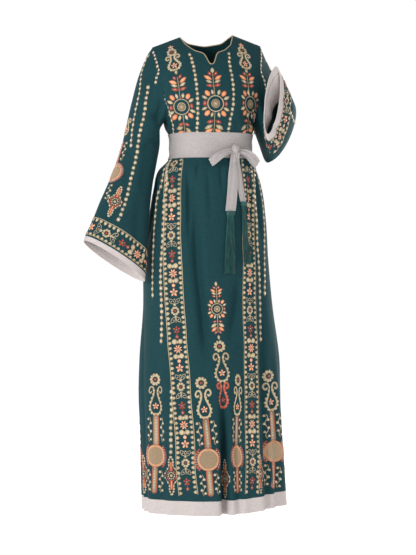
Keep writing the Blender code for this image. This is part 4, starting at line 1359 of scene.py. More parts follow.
class Path:
    """A line on a cloth through given columns and rows, with even steps along it."""

    def __init__(self, cloth, places, closed=False, samples=40, wide=1.0):
        self.cloth, self.wide = cloth, wide
        places = np.array(places, dtype=float)
        if closed:
            turn = math.copysign(cloth.columns, places[1, 0] - places[0, 0])
            places = np.concatenate([places, places[:1] + (turn, 0)])
        slopes = np.gradient(places, axis=0)
        fine = np.linspace(0, len(places) - 1, samples * (len(places) - 1) + 1)
        cell = np.minimum(fine.astype(int), len(places) - 2)
        t = (fine - cell)[:, None]
        self.places = curve(places, slopes, cell, t)
        points = cloth.read(self.places[:, 0], self.places[:, 1])
        steps = np.linalg.norm(np.diff(points, axis=0), axis=1)
        self.run = np.concatenate([[0.0], np.cumsum(steps)])
        self.length = float(self.run[-1])

    def uv(self, distance):
        """Column and row at a distance along the path."""
        return np.array([np.interp(distance, self.run, self.places[:, k]) for k in range(2)])

    def spot(self, distance):
        """The spot at a distance along the path, its down step along the path."""
        distance = min(max(distance, 0.0), self.length)
        ahead = self.uv(min(distance + SPOT_REACH, self.length))
        behind = self.uv(max(distance - SPOT_REACH, 0.0))
        u, v = self.uv(distance)
        return Spot(self.cloth, float(u), float(v), ahead - behind, self.wide)

    def nearest(self, u, v):
        """The distance along the path of its sample nearest to a column and row."""
        away = np.linalg.norm(self.places - np.array([u, v]), axis=1)
        return float(self.run[int(np.argmin(away))])


INNER_RING = (0.62,)


def dome_faces(count, rings):
    """Faces of rings of points that close on one middle point, from the outside in."""
    faces = []
    for k in range(count):
        n = (k + 1) % count
        for ring in range(0, rings * count, count):
            faces.append((ring + k, ring + n, ring + count + n, ring + count + k))
        faces.append((rings * count + k, rings * count + n, (rings + 1) * count))
    return faces


class Needlework:
    """Raised stitches that lie on one cloth, gathered into one mesh."""

    def __init__(self, cloth):
        self.cloth = cloth
        self.u, self.v, self.height, self.crown, self.uv = [], [], [], [], []
        self.faces, self.colours = [], []
        self.count = 0
        self.total = 0

    def add(self, u, v, height, crown, grain, faces, colour):
        """Adds points by column and row, with faces between them."""
        start = self.total
        self.u.append(np.ravel(u))
        self.total += len(self.u[-1])
        self.v.append(np.ravel(v))
        self.height.append(np.ravel(height))
        self.count += 1
        # Painted highlight and shade, scaled, with a random tone of its own added for each form
        shade = SHADE_SWING * math.sin(self.count * SHADE_TURN)
        self.crown.append(np.ravel(crown) * CROWN_SHARE + shade)
        self.uv.append(np.asarray(grain).reshape(-1, 2) * 1000)
        self.faces += [tuple(int(k) + start for k in face) for face in faces]
        self.colours += [colour] * len(faces)

    def patch(self, spot, outline, colour, at=(0.0, 0.0), turn=0.0, height=STITCH_HEIGHT, inner=INNER_RING):
        """A filled form with a crowned top, from an outline round its own middle, in rings."""
        outline = np.array(outline, dtype=float)
        count = len(outline)
        rings = np.concatenate([outline, *[outline * share for share in inner], [[0.0, 0.0]]])
        angle = math.radians(turn)
        a = at[0] + rings[:, 0] * math.cos(angle) - rings[:, 1] * math.sin(angle)
        b = at[1] + rings[:, 0] * math.sin(angle) + rings[:, 1] * math.cos(angle)
        u, v = spot.place(a, b)
        deep = count * len(inner)
        lift = np.concatenate([np.full(count, 0.0), np.full(deep, PATCH_SHOULDER * height), [height]])
        # Painted highlight on the form's top, painted shade at its edge
        crown = np.concatenate([np.full(count, PATCH_EDGE), np.full(deep, PATCH_SHOULDER), [1.0]])
        self.add(u, v, lift, crown, rings, dome_faces(count, len(inner)), colour)

    def strip(self, u, v, across, width, colour, closed=False, height=STITCH_HEIGHT):
        """A raised line through columns and rows, with a ridge along its middle.

        across holds, for each point, the grid step of one metre to the line's side.
        """
        count = len(u)
        half = np.broadcast_to(np.asarray(width, dtype=float), (count,)) / 2
        all_u = np.concatenate([u - across[:, 0] * half, u, u + across[:, 0] * half])
        all_v = np.concatenate([v - across[:, 1] * half, v, v + across[:, 1] * half])
        lift = np.concatenate([np.zeros(count), np.full(count, height), np.zeros(count)])
        # Painted highlight along the ridge, painted shade along the edges
        edge = np.full(count, LINE_EDGE)
        crown = np.concatenate([edge, np.ones(count), edge])
        run = np.arange(count) * RUN_STEP
        grain = np.stack([np.tile(run, 3), np.repeat([-MM, 0.0, MM], count)], axis=1)
        faces = []
        for k in range(count if closed else count - 1):
            n = (k + 1) % count
            faces.append((k, n, count + n, count + k))
            faces.append((count + k, count + n, 2 * count + n, 2 * count + k))
        self.add(all_u, all_v, lift, crown, grain, faces, colour)

    def line(self, spot, points, width, colour, closed=False, height=STITCH_HEIGHT):
        """A raised line through points in metres across and down from a spot."""
        points = np.array(points, dtype=float)
        ahead = np.gradient(points, axis=0)
        if closed:
            ahead = np.roll(points, -1, axis=0) - np.roll(points, 1, axis=0)
        ahead = unit(ahead)
        side = np.stack([-ahead[:, 1], ahead[:, 0]], axis=1)
        u, v = spot.place(points[:, 0], points[:, 1])
        across = side[:, :1] * spot.across + side[:, 1:] * spot.down
        self.strip(u, v, across, width, colour, closed, height)

    def along(self, path, offset, width, colour, start, end):
        """A raised line beside a path, all the way from start to end."""
        stops = np.linspace(start, end, max(2, int((end - start) / ALONG_STEP)))
        spots = [path.spot(distance) for distance in stops]
        places = np.array([spot.place(offset, 0.0) for spot in spots])
        across = np.array([spot.across for spot in spots])
        self.strip(places[:, 0], places[:, 1], across, width, colour)

    def stone(self, spot, at=(0.0, 0.0), radius=STONE_RADIUS):
        """A small cut glass stone set on the stitches."""
        count = STONE_SIDES
        turn = circle(count)
        ring = np.stack([np.cos(turn), np.sin(turn)], axis=1) * radius
        rings = np.concatenate([ring, ring * STONE_TABLE, [[0.0, 0.0]]])
        u, v = spot.place(at[0] + rings[:, 0], at[1] + rings[:, 1])
        lift = np.concatenate([np.full(count, 0.2), np.full(count, 1.0), [1.0]]) * STONE_HEIGHT
        # Painted highlight on the stone's table and middle, painted shade at its rim
        crown = np.concatenate([np.full(count, LINE_EDGE), np.full(count, STONE_CROWN), [1.0]])
        self.add(u, v, lift, crown, rings, dome_faces(count, 1), "stone")

    def piece(self, name):
        """The gathered stitches as one piece of the scene, with a material for each colour."""
        u, v = np.concatenate(self.u), np.concatenate(self.v)
        height = np.concatenate(self.height) + STITCH_LIFT
        points = self.cloth.read(u, v)
        out = self.cloth.read(u, v, self.cloth.out)
        data = bpy.data.meshes.new(name)
        data.from_pydata((points + unit(out) * height[:, None]).tolist(), [], self.faces)
        # The painted highlight and shade go to the materials as a point attribute
        crown = data.attributes.new("crown", "FLOAT", "POINT")
        crown.data.foreach_set("value", np.concatenate(self.crown).astype(np.float32))
        grain = np.concatenate(self.uv)
        corners = np.zeros(len(data.loops), dtype=np.int32)
        data.loops.foreach_get("vertex_index", corners)
        layer = data.uv_layers.new(name="UVMap")
        layer.data.foreach_set("uv", grain[corners].astype(np.float32).ravel())
        names = sorted(set(self.colours))
        for colour in names:
            data.materials.append(STITCHES[colour])
        data.polygons.foreach_set("material_index", [names.index(c) for c in self.colours])
        data.shade_smooth()
        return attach(linked(name, data), "root")


STITCHES = {name: thread_material(name) for name in THREADS}


LEAF_POINTS = 12


def oval(length, width, count=10):
    """The outline of an oval that is long down the cloth."""
    turn = circle(count)
    return np.stack([np.sin(turn) * width / 2, np.cos(turn) * length / 2], axis=1)


def lobed(size, lobes, count, depth=0.12):
    """The outline of a round bead of stitches with lobes."""
    turn = circle(count)
    radius = size / 2 * (1 + depth * np.cos(lobes * turn))
    return np.stack([np.sin(turn) * radius, -np.cos(turn) * radius], axis=1)


def leaf(length, width):
    """The outline of a leaf, pointed at both ends, that is long down the cloth."""
    share = np.linspace(0.0, 1.0, LEAF_POINTS // 2 + 1)
    side = np.sin(math.pi * share) ** 0.85 * width / 2
    down = (share - 0.5) * length
    right = np.stack([side, down], axis=1)
    left = np.stack([-side[::-1], down[::-1]], axis=1)[1:-1]
    return np.concatenate([right, left])


def arc(radius, start, end, count):
    """Points on a circle, its angles in degrees clockwise from the top."""
    turn = np.radians(np.linspace(start, end, count))
    return np.stack([np.sin(turn) * radius, -np.cos(turn) * radius], axis=1)


def polar(angle, radius, at=(0.0, 0.0)):
    """The point at an angle, clockwise from the top, and a distance from a middle."""
    turn = math.radians(angle)
    return at[0] + radius * math.sin(turn), at[1] - radius * math.cos(turn)


def turned(points, turn, at):
    """Points turned by degrees about their own middle and moved."""
    angle = math.radians(turn)
    spin = np.array([[math.cos(angle), math.sin(angle)], [-math.sin(angle), math.cos(angle)]])
    return np.array(points) @ spin + np.array(at)


def ray(work, spot, angle, radius, length, width, colour, at=(0.0, 0.0), shape=leaf, stone=False):
    """A leaf or oval that points away from a middle, at an angle clockwise from the top."""
    place = polar(angle, radius, at)
    work.patch(spot, shape(length, width), colour, place, angle)
    if stone:
        work.stone(spot, place, 1.5 * MM)


def star(work, spot, rays, reach, colour, at=(0.0, 0.0), turn=0.0):
    """Narrow rays round a middle with a stone on it."""
    width = min(2.4 * reach / rays, 0.55 * reach)
    for k in range(rays):
        ray(work, spot, turn + 360 * k / rays, 0.56 * reach, 0.84 * reach, width, colour, at)
    work.stone(spot, at, 1.5 * MM)


def dot(work, spot, radius, colour):
    """A round bead of stitches with a stone on it."""
    work.patch(spot, oval(2 * radius, 2 * radius), colour)
    work.stone(spot, radius=1.4 * MM)


def flower(work, spot, radius, petals=8):
    """A round flower of gold petals, a dark ring and a small heart."""
    for k in range(petals):
        angle = 360 * (k + 0.5) / petals
        width = 2 * math.pi * 0.80 * radius / petals
        ray(work, spot, angle, 0.76 * radius, 0.50 * radius, width, "gold", shape=oval)
        if k % 2 == 0:
            work.stone(spot, polar(angle, 0.74 * radius), 1.2 * MM)
    ring = arc(0.58 * radius, 0, 360, 21)[:-1]
    work.line(spot, ring, 0.26 * radius, "gold", closed=True)
    work.patch(spot, oval(0.48 * radius, 0.48 * radius), "red")


def leaf_outline(work, spot, angle, length, width, at):
    """A leaf drawn by its edge, with stones inside, whose root is at a point."""
    middle = polar(angle, length / 2, at)
    work.line(spot, turned(leaf(length, width), angle, middle), 2.0 * MM, "gold", closed=True)
    work.stone(spot, middle, 1.5 * MM)


def leaf_arch(work, spot):
    """Two outlined leaves that lean together at the top, and the bud over them."""
    for side in (-1, 1):
        leaf_outline(work, spot, side * 140, 20 * MM, 10 * MM, (side * 1.5 * MM, -8 * MM))
    work.patch(spot, lobed(7 * MM, 4, 12), "gold", (0.0, -9.5 * MM))
    work.line(spot, [(0.0, -7 * MM), (0.0, 7 * MM)], 1.8 * MM, "gold")


def leaf_cup(work, spot):
    """Two outlined leaves that open upwards, and the bud under them."""
    for side in (-1, 1):
        leaf_outline(work, spot, side * 42, 20 * MM, 10 * MM, (side * 1.5 * MM, 8 * MM))
    work.patch(spot, lobed(8 * MM, 4, 12), "gold", (0.0, 10 * MM))
    work.patch(spot, oval(4 * MM, 6 * MM, 8), "gold", (0.0, -5 * MM))


def double_bead(work, spot):
    """Two round beads side by side, each with its own coil."""
    for side in (-1, 1):
        at = (side * 8.6 * MM, 0.0)
        work.patch(spot, oval(15.0 * MM, 15.0 * MM, 12), "gold", at)
        work.stone(spot, at, 1.6 * MM)
    work.patch(spot, oval(10 * MM, 8 * MM, 10), "gold", (0.0, 1.5 * MM))


def drop_star(work, spot):
    """A five-rayed red star with a short stem under it."""
    star(work, spot, 5, 12.0 * MM, "red")
    work.line(spot, [(0.0, 6 * MM), (0.0, 17 * MM)], 1.8 * MM, "red")


BAND_REPEAT = 0.2115
BAND_HALF = 0.0275
BORDER_STEP = 0.0138
BAND_MARGIN = 0.008
BAND_START = 0.004
BAND_STOP = 0.002
CHAIN_START = 0.002

# The band's repeat: distance along it in millimetres, motif
BAND_MOTIFS = (
    (0.0, lambda work, spot: flower(work, spot, 12.8 * MM)),
    (25.0, leaf_arch),
    (52.0, drop_star),
    (72.0, lambda work, spot: dot(work, spot, 5.2 * MM, "red")),
    (85.5, double_bead),
    (106.5, lambda work, spot: star(work, spot, 8, 13.5 * MM, "peach", turn=22.5)),
    (126.5, double_bead),
    (140.0, lambda work, spot: dot(work, spot, 5.2 * MM, "peach")),
    (159.5, lambda work, spot: star(work, spot, 5, 12.8 * MM, "peach")),
    (184.0, leaf_cup),
)


def border(work, path, offset, inward, start, end):
    """A gold line beside a path, with a row of pointed beads on its inner side."""
    work.along(path, offset, 2.0 * MM, "gold", start, end)
    count = int((end - start) / BORDER_STEP)
    for k in range(count):
        spot = path.spot(start + (k + 0.5) * (end - start) / count)
        at = (offset + inward * 5.6 * MM, 0.0)
        work.patch(spot, lobed(10.2 * MM, 3, 9, 0.16), "gold", at, 90 * inward)
        if k % 2:
            work.stone(spot, at, 1.3 * MM)


def motif_band(work, path, phase, start, end):
    """The wide band: two beaded borders and the repeat of flowers, leaves and stars."""
    for side in (-1, 1):
        border(work, path, side * BAND_HALF, -side, start, end)
    first = math.floor((start - phase) / BAND_REPEAT) - 1
    for repeat in range(first, first + int((end - start) / BAND_REPEAT) + 4):
        for offset, motif in BAND_MOTIFS:
            distance = phase + repeat * BAND_REPEAT + offset * MM
            if start + BAND_MARGIN < distance < end - BAND_MARGIN:
                motif(work, path.spot(distance))


def chain(work, path, step, size):
    """A single string of lobed beads on a thin stem."""
    start, end = CHAIN_START, path.length
    work.along(path, 0.0, 1.3 * MM, "gold", start, end)
    count = max(1, int(round((end - start) / step)))
    for k in range(count):
        spot = path.spot(start + (k + 0.5) * (end - start) / count)
        sway = 0.5 * MM * (1 if k % 2 else -1)
        work.patch(spot, lobed(size, 4, 12, 0.20), "gold", (sway, 0.0), 45)
        work.stone(spot, (sway, 0.0), 2.2 * MM)


# Pairs of leaves: height above the middle, distance aside, length, width, lean, colour
UPPER_SPRIG = (
    (88.0, 8.5, 17.0, 10.0, 34, "red"),
    (76.0, 14.5, 25.0, 10.5, 60, "orange"),
    (64.5, 12.0, 21.0, 10.0, 66, "gold"),
    (52.5, 11.0, 21.0, 9.5, 76, "red"),
)
LOWER_SPRIG = (
    (-51.0, 11.5, 21.0, 10.0, 106, "red"),
    (-66.5, 15.5, 28.0, 13.5, 122, "gold"),
    (-82.0, 14.5, 29.0, 13.5, 128, "orange"),
    (-95.0, 8.5, 20.0, 9.5, 145, "red"),
)

# Round flower: its two gold rings, its heart, the gap to the sprigs
ROSETTE_RINGS = ((22.3, 33, 2.8), (11.5, 25, 2.2))
ROSETTE_HEART = 20
SPRIG_GAP = 23.5

# Petals of the round flower: angle, radius, length, width, colour
ROSETTE = (
    (16, 33.5, 17.0, 9.0, "gold"),
    (39, 37.0, 19.0, 13.0, "orange"),
    (62, 35.0, 20.0, 9.5, "gold"),
    (90, 30.0, 11.0, 16.0, "red"),
    (116, 34.5, 20.0, 9.5, "gold"),
    (140, 36.0, 19.0, 13.0, "orange"),
    (163, 33.0, 17.0, 9.0, "gold"),
)


def rosette(work, spot, scale=1.0):
    """The round flower: petals, a gold ring, bare cloth and a bronze heart."""
    for angle, radius, length, width, colour in ROSETTE:
        shape = leaf if colour == "gold" else oval
        for side in (-1, 1):
            ray(
                work, spot, side * angle, radius * scale * MM, length * scale * MM,
                width * scale * MM, colour, shape=shape, stone=True,
            )
    for radius, points, width in ROSETTE_RINGS:
        ring = arc(radius * scale * MM, 0, 360, points)[:-1]
        work.line(spot, ring, width * MM, "gold", closed=True)
    heart = ROSETTE_HEART * scale * MM
    work.patch(spot, oval(heart, heart, 16), "bronze")
    work.stone(spot, radius=1.8 * MM)


def sprig(work, path, middle, rows, scale=1.0):
    """Pairs of leaves on a stem, above or below a rosette on the same path."""
    for above, aside, length, width, lean, colour in rows:
        spot = path.spot(middle - above * scale * MM)
        for side in (-1, 1):
            place = (side * aside * scale * MM, 0.0)
            shape = leaf(length * scale * MM, width * scale * MM)
            work.patch(spot, shape, colour, place, side * lean)
            work.stone(spot, place, 1.5 * MM)
    reach = [middle - row[0] * scale * MM for row in rows]
    edge = SPRIG_GAP * scale * MM * (1 if rows[0][0] < 0 else -1)
    ends = sorted((middle + edge, max(reach) if edge > 0 else min(reach)))
    work.along(path, 0.0, 2.0 * MM, "gold", max(ends[0], 0.0), min(ends[1], path.length))


# One scroll of the lyre, in millimetres across and down
LYRE = (
    (0.0, 22.0), (9.0, 20.0), (16.0, 9.0), (16.5, -3.0), (11.5, -17.0), (6.5, -30.0), (5.5, -43.0),
    (10.5, -53.0), (18.5, -52.0), (21.5, -43.0), (17.0, -36.5), (12.0, -41.0),
)
LYRE_BEADS = 8
VINE_BEADS = 6
DISC_RINGS = (0.94, 0.8, 0.64, 0.48, 0.32, 0.16)
DIAMOND_FRAME = (
    (0.0, -1.0), (0.26, -0.74), (0.30, -0.44), (1.0, 0.0), (0.30, 0.44), (0.26, 0.74), (0.0, 1.0),
)


def smooth(points, count):
    """A curve of a number of points through a few."""
    points = np.array(points, dtype=float)
    slopes = np.gradient(points, axis=0)
    fine = np.linspace(0, len(points) - 1, count)
    cell = np.minimum(fine.astype(int), len(points) - 2)
    return curve(points, slopes, cell, (fine - cell)[:, None])


def lyre(work, spot, across=1.0, down=1.0, colour="gold", heart="peach"):
    """Two mirrored scrolls that close round a star, with beads on the outside of the bowl."""
    for side in (-1, 1):
        scroll = smooth(LYRE, 45) * MM * np.array([side * across, down])
        work.line(spot, scroll, 5.4 * MM, colour)
        for k in range(LYRE_BEADS):
            at = scroll[2 + 3 * k] * np.array([1.13, 1.09])
            work.patch(spot, oval(7.6 * MM, 7.6 * MM, 8), colour, tuple(at))
            if k % 2:
                work.stone(spot, tuple(at), 1.2 * MM)
    star(work, spot, 5, 10.5 * MM * min(1.0, across + 0.1), heart)


def bar(work, spot, length, width=12.5 * MM):
    """An upright bar with rounded ends, a red edge and a row of stones, hung from a spot."""
    half = width / 2
    top = arc(half, -90, 90, 9) + (0.0, half)
    bottom = arc(half, 90, 270, 9) + (0.0, length - half)
    outline = np.concatenate([top, bottom])
    work.line(spot, outline * np.array([1.18, 1.0]), 2.4 * MM, "rust", closed=True)
    middle = np.array([0.0, length / 2])
    work.patch(spot, outline - middle, "sand", tuple(middle), height=0.8 * STITCH_HEIGHT)
    for distance in np.arange(half, length - half / 2, 8 * MM):
        work.stone(spot, (0.0, float(distance)), 1.6 * MM)


def vine(work, spot, length, side):
    """A thin wavering stem beside a bar, with small ringed beads on alternate sides."""
    down = np.linspace(0.0, length, 25)
    wave = 3.2 * MM * np.sin(down / length * 4 * math.pi)
    aside = side * 20 * MM
    work.line(spot, np.stack([aside + wave, down], axis=1), 1.6 * MM, "gold")
    for k in range(VINE_BEADS):
        place = (k + 0.4) * length / VINE_BEADS
        at = (aside + (4.6 * MM if k % 2 else -4.6 * MM), place)
        work.patch(spot, lobed(8.2 * MM, 3, 9), "gold", at)
        work.stone(spot, at, 1.6 * MM)


def disc(work, spot, size=1.0, spans=((38, 142), (218, 322))):
    """A bronze disc in gold and orange rings, between red beaded arcs."""
    size_mm = size * MM
    form = oval(50 * size_mm, 50 * size_mm, 32)
    work.patch(spot, form, "bronze", height=0.8 * STITCH_HEIGHT, inner=DISC_RINGS)
    work.line(spot, arc(27.5 * size_mm, 0, 360, 49)[:-1], 3.6 * size_mm, "gold", closed=True)
    work.line(spot, arc(25.0 * size_mm, 0, 360, 49)[:-1], 1.7 * size_mm, "orange", closed=True)
    work.line(spot, arc(30.2 * size_mm, 0, 360, 49)[:-1], 2.0 * size_mm, "orange", closed=True)
    for start, end in spans:
        work.line(spot, arc(38.2 * size_mm, start, end, 25), 2.4 * size_mm, "rust")
        work.line(spot, arc(34.2 * size_mm, start, end, 25), 5.6 * size_mm, "wine", height=0.5 * MM)
        for angle in np.arange(start + 6, end - 3, 12):
            at = tuple(arc(34.2 * size_mm, angle, angle, 1)[0])
            work.stone(spot, at, 1.4 * MM)


def diamond(work, spot, size=1.0):
    """A red-edged eye with a bar through it, in a pointed frame of small gold beads."""
    eye, frame_high, frame_wide = 14.0 * MM, 53.0 * size * MM, 23.0 * size * MM
    for end in (-1, 1):
        for edge in (-1, 1):
            work.line(
                spot, [(edge * 3.2 * MM, end * eye), (edge * 3.2 * MM, end * 38 * MM)], 2.0 * MM, "rust"
            )
        work.line(spot, arc(3.2 * MM, -90, 90, 7) * (1, end) + (0.0, end * 38 * MM), 2.0 * MM, "rust")
        work.line(spot, [(0.0, end * eye), (0.0, end * 38 * MM)], 3.4 * MM, "orange")
    work.line(spot, arc(eye, 0, 360, 25)[:-1], 2.4 * MM, "rust", closed=True)
    for k in range(10):
        ray(work, spot, 36 * k, 9 * MM, 5 * MM, 4.6 * MM, "gold", shape=oval)
    dot(work, spot, 4.2 * MM, "gold")
    for side in (-1, 1):
        frame_line = smooth(DIAMOND_FRAME, 25) * np.array([side * frame_wide, frame_high])
        work.line(spot, frame_line, 1.8 * MM, "gold")
        for point in frame_line[1:-1:2]:
            work.patch(spot, oval(6.2 * MM, 6.2 * MM, 8), "gold", tuple(point * 1.04))
            work.stone(spot, tuple(point * 1.04), 1.1 * MM)


# Gold column: distances down from its top, then lengths
COLUMN_LYRE = 74 * MM
COLUMN_BAR = 99 * MM
COLUMN_VINE = 106 * MM
COLUMN_DISC = 213 * MM
COLUMN_BAR_LENGTH = 86 * MM
COLUMN_VINE_LENGTH = 68 * MM

# Its lower bar and vine: distance under the disc, greatest length, distance to the hem's seam
LOWER_BAR = (28 * MM, 78 * MM, 3 * MM)
LOWER_VINE = (40 * MM, 64 * MM, 6 * MM)


def gold_column(work, path, top):
    """Flower, scroll, bar, disc and bar, one under the other, with vines beside the bars."""
    flower(work, path.spot(top), 17.5 * MM, 10)
    lyre(work, path.spot(top + COLUMN_LYRE))
    bar(work, path.spot(top + COLUMN_BAR), COLUMN_BAR_LENGTH)
    centre = top + COLUMN_DISC
    for side in (-1, 1):
        vine(work, path.spot(top + COLUMN_VINE), COLUMN_VINE_LENGTH, side)
    left = path.length - centre
    under, most, clear = LOWER_BAR
    bar(work, path.spot(centre + under), min(most, left - under - clear))
    disc(work, path.spot(centre))
    under, most, clear = LOWER_VINE
    for side in (-1, 1):
        vine(work, path.spot(centre + under), min(most, left - under - clear), side)


# Strings of beads: step, size of a bead, places as pixels of the photograph's frame (across, down)
BODICE_CHAINS = (
    (0.0136, 0.0102, (
        (189, 52.5), (192.3, 61.6), (195, 74.6), (196.8, 88), (197.9, 105), (197.4, 125),
        (197.2, 134),
    )),
    (0.0140, 0.0102, (
        (229, 51.5), (229.8, 65), (232.3, 78), (233.6, 93), (232.8, 108), (229.8, 122),
        (227.7, 135),
    )),
    (0.0130, 0.0092, ((164.6, 94), (165.8, 101), (168.7, 109), (172.5, 123), (173.6, 134))),
    (0.0130, 0.0092, ((252.5, 108), (254.0, 118), (254.5, 128), (254.0, 135))),
)
SKIRT_CHAINS = (
    (0.0172, 0.0105, (
        (171.5, 158), (163.5, 174), (157.5, 196), (154.5, 225), (152.8, 262), (152.5, 298),
    )),
    (0.0166, 0.0112, (
        (172.0, 158), (167.0, 178), (164, 205), (162, 250), (161.3, 300), (161.2, 344),
    )),
    (0.0172, 0.0112, ((171.9, 388), (171.3, 410), (170.8, 432), (170.8, 455))),
    (0.0166, 0.0108, (
        (252.8, 158), (254.6, 188), (256.2, 214), (258.6, 262), (259.9, 303), (260.4, 342),
    )),
    (0.0166, 0.0104, ((254.5, 158), (259.2, 184), (262.6, 205), (264.3, 240), (264.7, 296))),
)
# Wide bands of the skirt: width across, place of a flower, places
BANDS = (
    (1.0, (175.2, 311), (
        (175.2, 157), (173.6, 168), (172.3, 182), (171.5, 205), (171.2, 235), (172.8, 270),
        (175.2, 311), (181, 387), (185.5, 461), (188.5, 496),
    )),
    (0.74, (249.9, 310), (
        (246.0, 158), (247.6, 180), (249.0, 215), (249.6, 260), (249.8, 310), (251.2, 360),
        (252.2, 400), (252.6, 450), (251.8, 495),
    )),
)

# Side columns of the bodice: places, round flower, scroll
SIDE_COLUMNS = (
    ((
        (169.9, 44.2), (171.2, 50.5), (174.3, 65.5), (176.9, 76), (179.4, 92), (181.6, 107),
        (184.0, 122), (185.2, 135),
    ), (181.6, 107), (174.3, 65.5)),
    ((
        (240.4, 42.7), (242.6, 51), (245.3, 64), (246.9, 75), (248.8, 91), (250.2, 104.4),
        (247.8, 122), (246.8, 136),
    ), (250.2, 104.4), (245.3, 64)),
)

# Middle columns of the bodice and the skirt, with their round flowers
MIDDLE_COLUMN = ((212.1, 68), (213.4, 82), (214.8, 94), (215.7, 103.5), (214.6, 118), (213.4, 134))
MIDDLE_ROSETTE = (215.7, 103.5)
LOW_MIDDLE_ROSETTE = (217.1, 309)
LOW_MIDDLE_COLUMN = ((215.6, 280), (217.1, 309), (218.6, 337), (219.6, 347), (222, 371), (223, 400))

# Low columns of the skirt: width across, places
GOLD_COLUMNS = (
    (1.0, ((155.3, 379.5), (155.8, 406), (155.5, 455), (154.2, 494))),
    (1.0, ((201.2, 383), (204, 408), (208.3, 458.5), (212, 497))),
    (0.52, ((238.0, 380), (237.6, 406), (236.8, 462), (236.6, 494))),
    (1.3, ((268.8, 376), (270.6, 401), (272.6, 451), (272.8, 489))),
)
DIAMONDS = (
    (1.0, ((143.8, 474.0), (144.2, 488))),
    (1.0, ((171.3, 475.6), (171.8, 490))),
    (1.0, ((225.2, 478.4), (225.4, 492))),
    (0.5, ((260.4, 474.0), (260.8, 488))),
)

# Lines of needlework that the camera doesn't see well, as shares of the panel's half width
HIDDEN_DIAMONDS_FRONT = (0.86,)
HIDDEN_GOLD_BACK = (-0.82, 0.82)
HIDDEN_DIAMONDS_BACK = (-0.64, 0.64)
GOLD_COLUMN_RISE = 0.343
HIDDEN_COLUMN_TOP = 0.017
DIAMOND_RISE = 0.062

# The sleeve's strings of beads, found on the right sleeve and used on both
SLEEVE_CHAINS = (
    (0.0148, 0.0098, (
        (150.5, 54), (145.8, 60), (141.3, 74.7), (139.8, 90), (135.4, 110), (132.4, 127),
        (130.6, 148),
    )),
    (0.0155, 0.0108, (
        (148.3, 84), (146.2, 99), (143.2, 116), (139.4, 134), (136.8, 154), (132.2, 175),
        (127.4, 195), (122.9, 209), (117.4, 222),
    )),
)
SLEEVE_FRONT_CHAIN = (0.0130, 0.0092, (
    (153.0, 50.5), (156.0, 60.0), (159.0, 70.0), (162.0, 82.0), (164.2, 92.0),
))
SLEEVE_MEDALLION = ((126.8, 128), (123.4, 142), (119.2, 158), (114.8, 173), (109.2, 190), (103.4, 208))
SLEEVE_MEDALLION_CENTRE = (114.8, 173)
SLEEVE_DIAMOND = ((121.0, 187), (114.8, 201.7), (108.5, 216))
CUFF_BAND_RISE = {"right": 0.029, "left": 0.024}
CUFF_BAND_WIDE = {"right": 1.0, "left": 0.8}
CUFF_FLOWER = {"right": (106.7, 231.4), "left": (264, 112)}


# Distances of single motifs from the middle of their column
BODICE_LEAF_UP = 98 * MM
SIDE_LEAF_DOWN = 23 * MM
SIDE_FLOWER_UP = 46 * MM
SIDE_STAR_UP = 67 * MM
LOW_SCALE = 0.68
LOW_LEAF_UP = 70 * MM
LOW_LEAF_DOWN = 79 * MM
LOW_FLOWER_DOWN = 104 * MM
LOW_LYRE_DOWN = 178 * MM
LAST_LYRE_DOWN = 262 * MM
MEDALLION_BAR_UP = 100 * MM
MEDALLION_BAR_LENGTH = 66 * MM
MEDALLION_VINE_UP = 96 * MM
MEDALLION_VINE_LENGTH = 56 * MM
MEDALLION_TAIL_DOWN = 36 * MM
MEDALLION_TAIL_LENGTH = 50 * MM
MEDALLION_LYRE_UP = 134 * MM


def found(cloth, pixels):
    """Columns and rows of a cloth at pixels of the photograph's frame."""
    return [cloth.find(*pixel) for pixel in pixels]


def sew_bodice(cloth):
    """The three columns of the bodice and its strings of beads."""
    work = Needlework(cloth)
    for step, size, pixels in BODICE_CHAINS:
        chain(work, Path(cloth, found(cloth, pixels)), step, size)
    path = Path(cloth, found(cloth, MIDDLE_COLUMN))
    middle = path.nearest(*cloth.find(*MIDDLE_ROSETTE))
    sprig(work, path, middle, UPPER_SPRIG)
    sprig(work, path, middle, LOWER_SPRIG[:3])
    work.patch(path.spot(max(middle - BODICE_LEAF_UP, 0.002)), leaf(18 * MM, 11 * MM), "gold")
    rosette(work, path.spot(middle))
    for pixels, centre, heart in SIDE_COLUMNS:
        path = Path(cloth, found(cloth, pixels))
        middle = path.nearest(*cloth.find(*centre))
        sprig(work, path, middle, UPPER_SPRIG)
        sprig(work, path, middle, LOWER_SPRIG[:3])
        rosette(work, path.spot(middle))
        scroll = path.nearest(*cloth.find(*heart))
        lyre(work, path.spot(scroll), 0.95, 0.62)
        work.patch(path.spot(scroll + SIDE_LEAF_DOWN), leaf(17 * MM, 10 * MM), "gold")
        flower(work, path.spot(max(scroll - SIDE_FLOWER_UP, 0.016)), 15 * MM)
        star(work, path.spot(max(scroll - SIDE_STAR_UP, 0.002)), 5, 9 * MM, "peach")
    return work.piece("bodice_needlework")


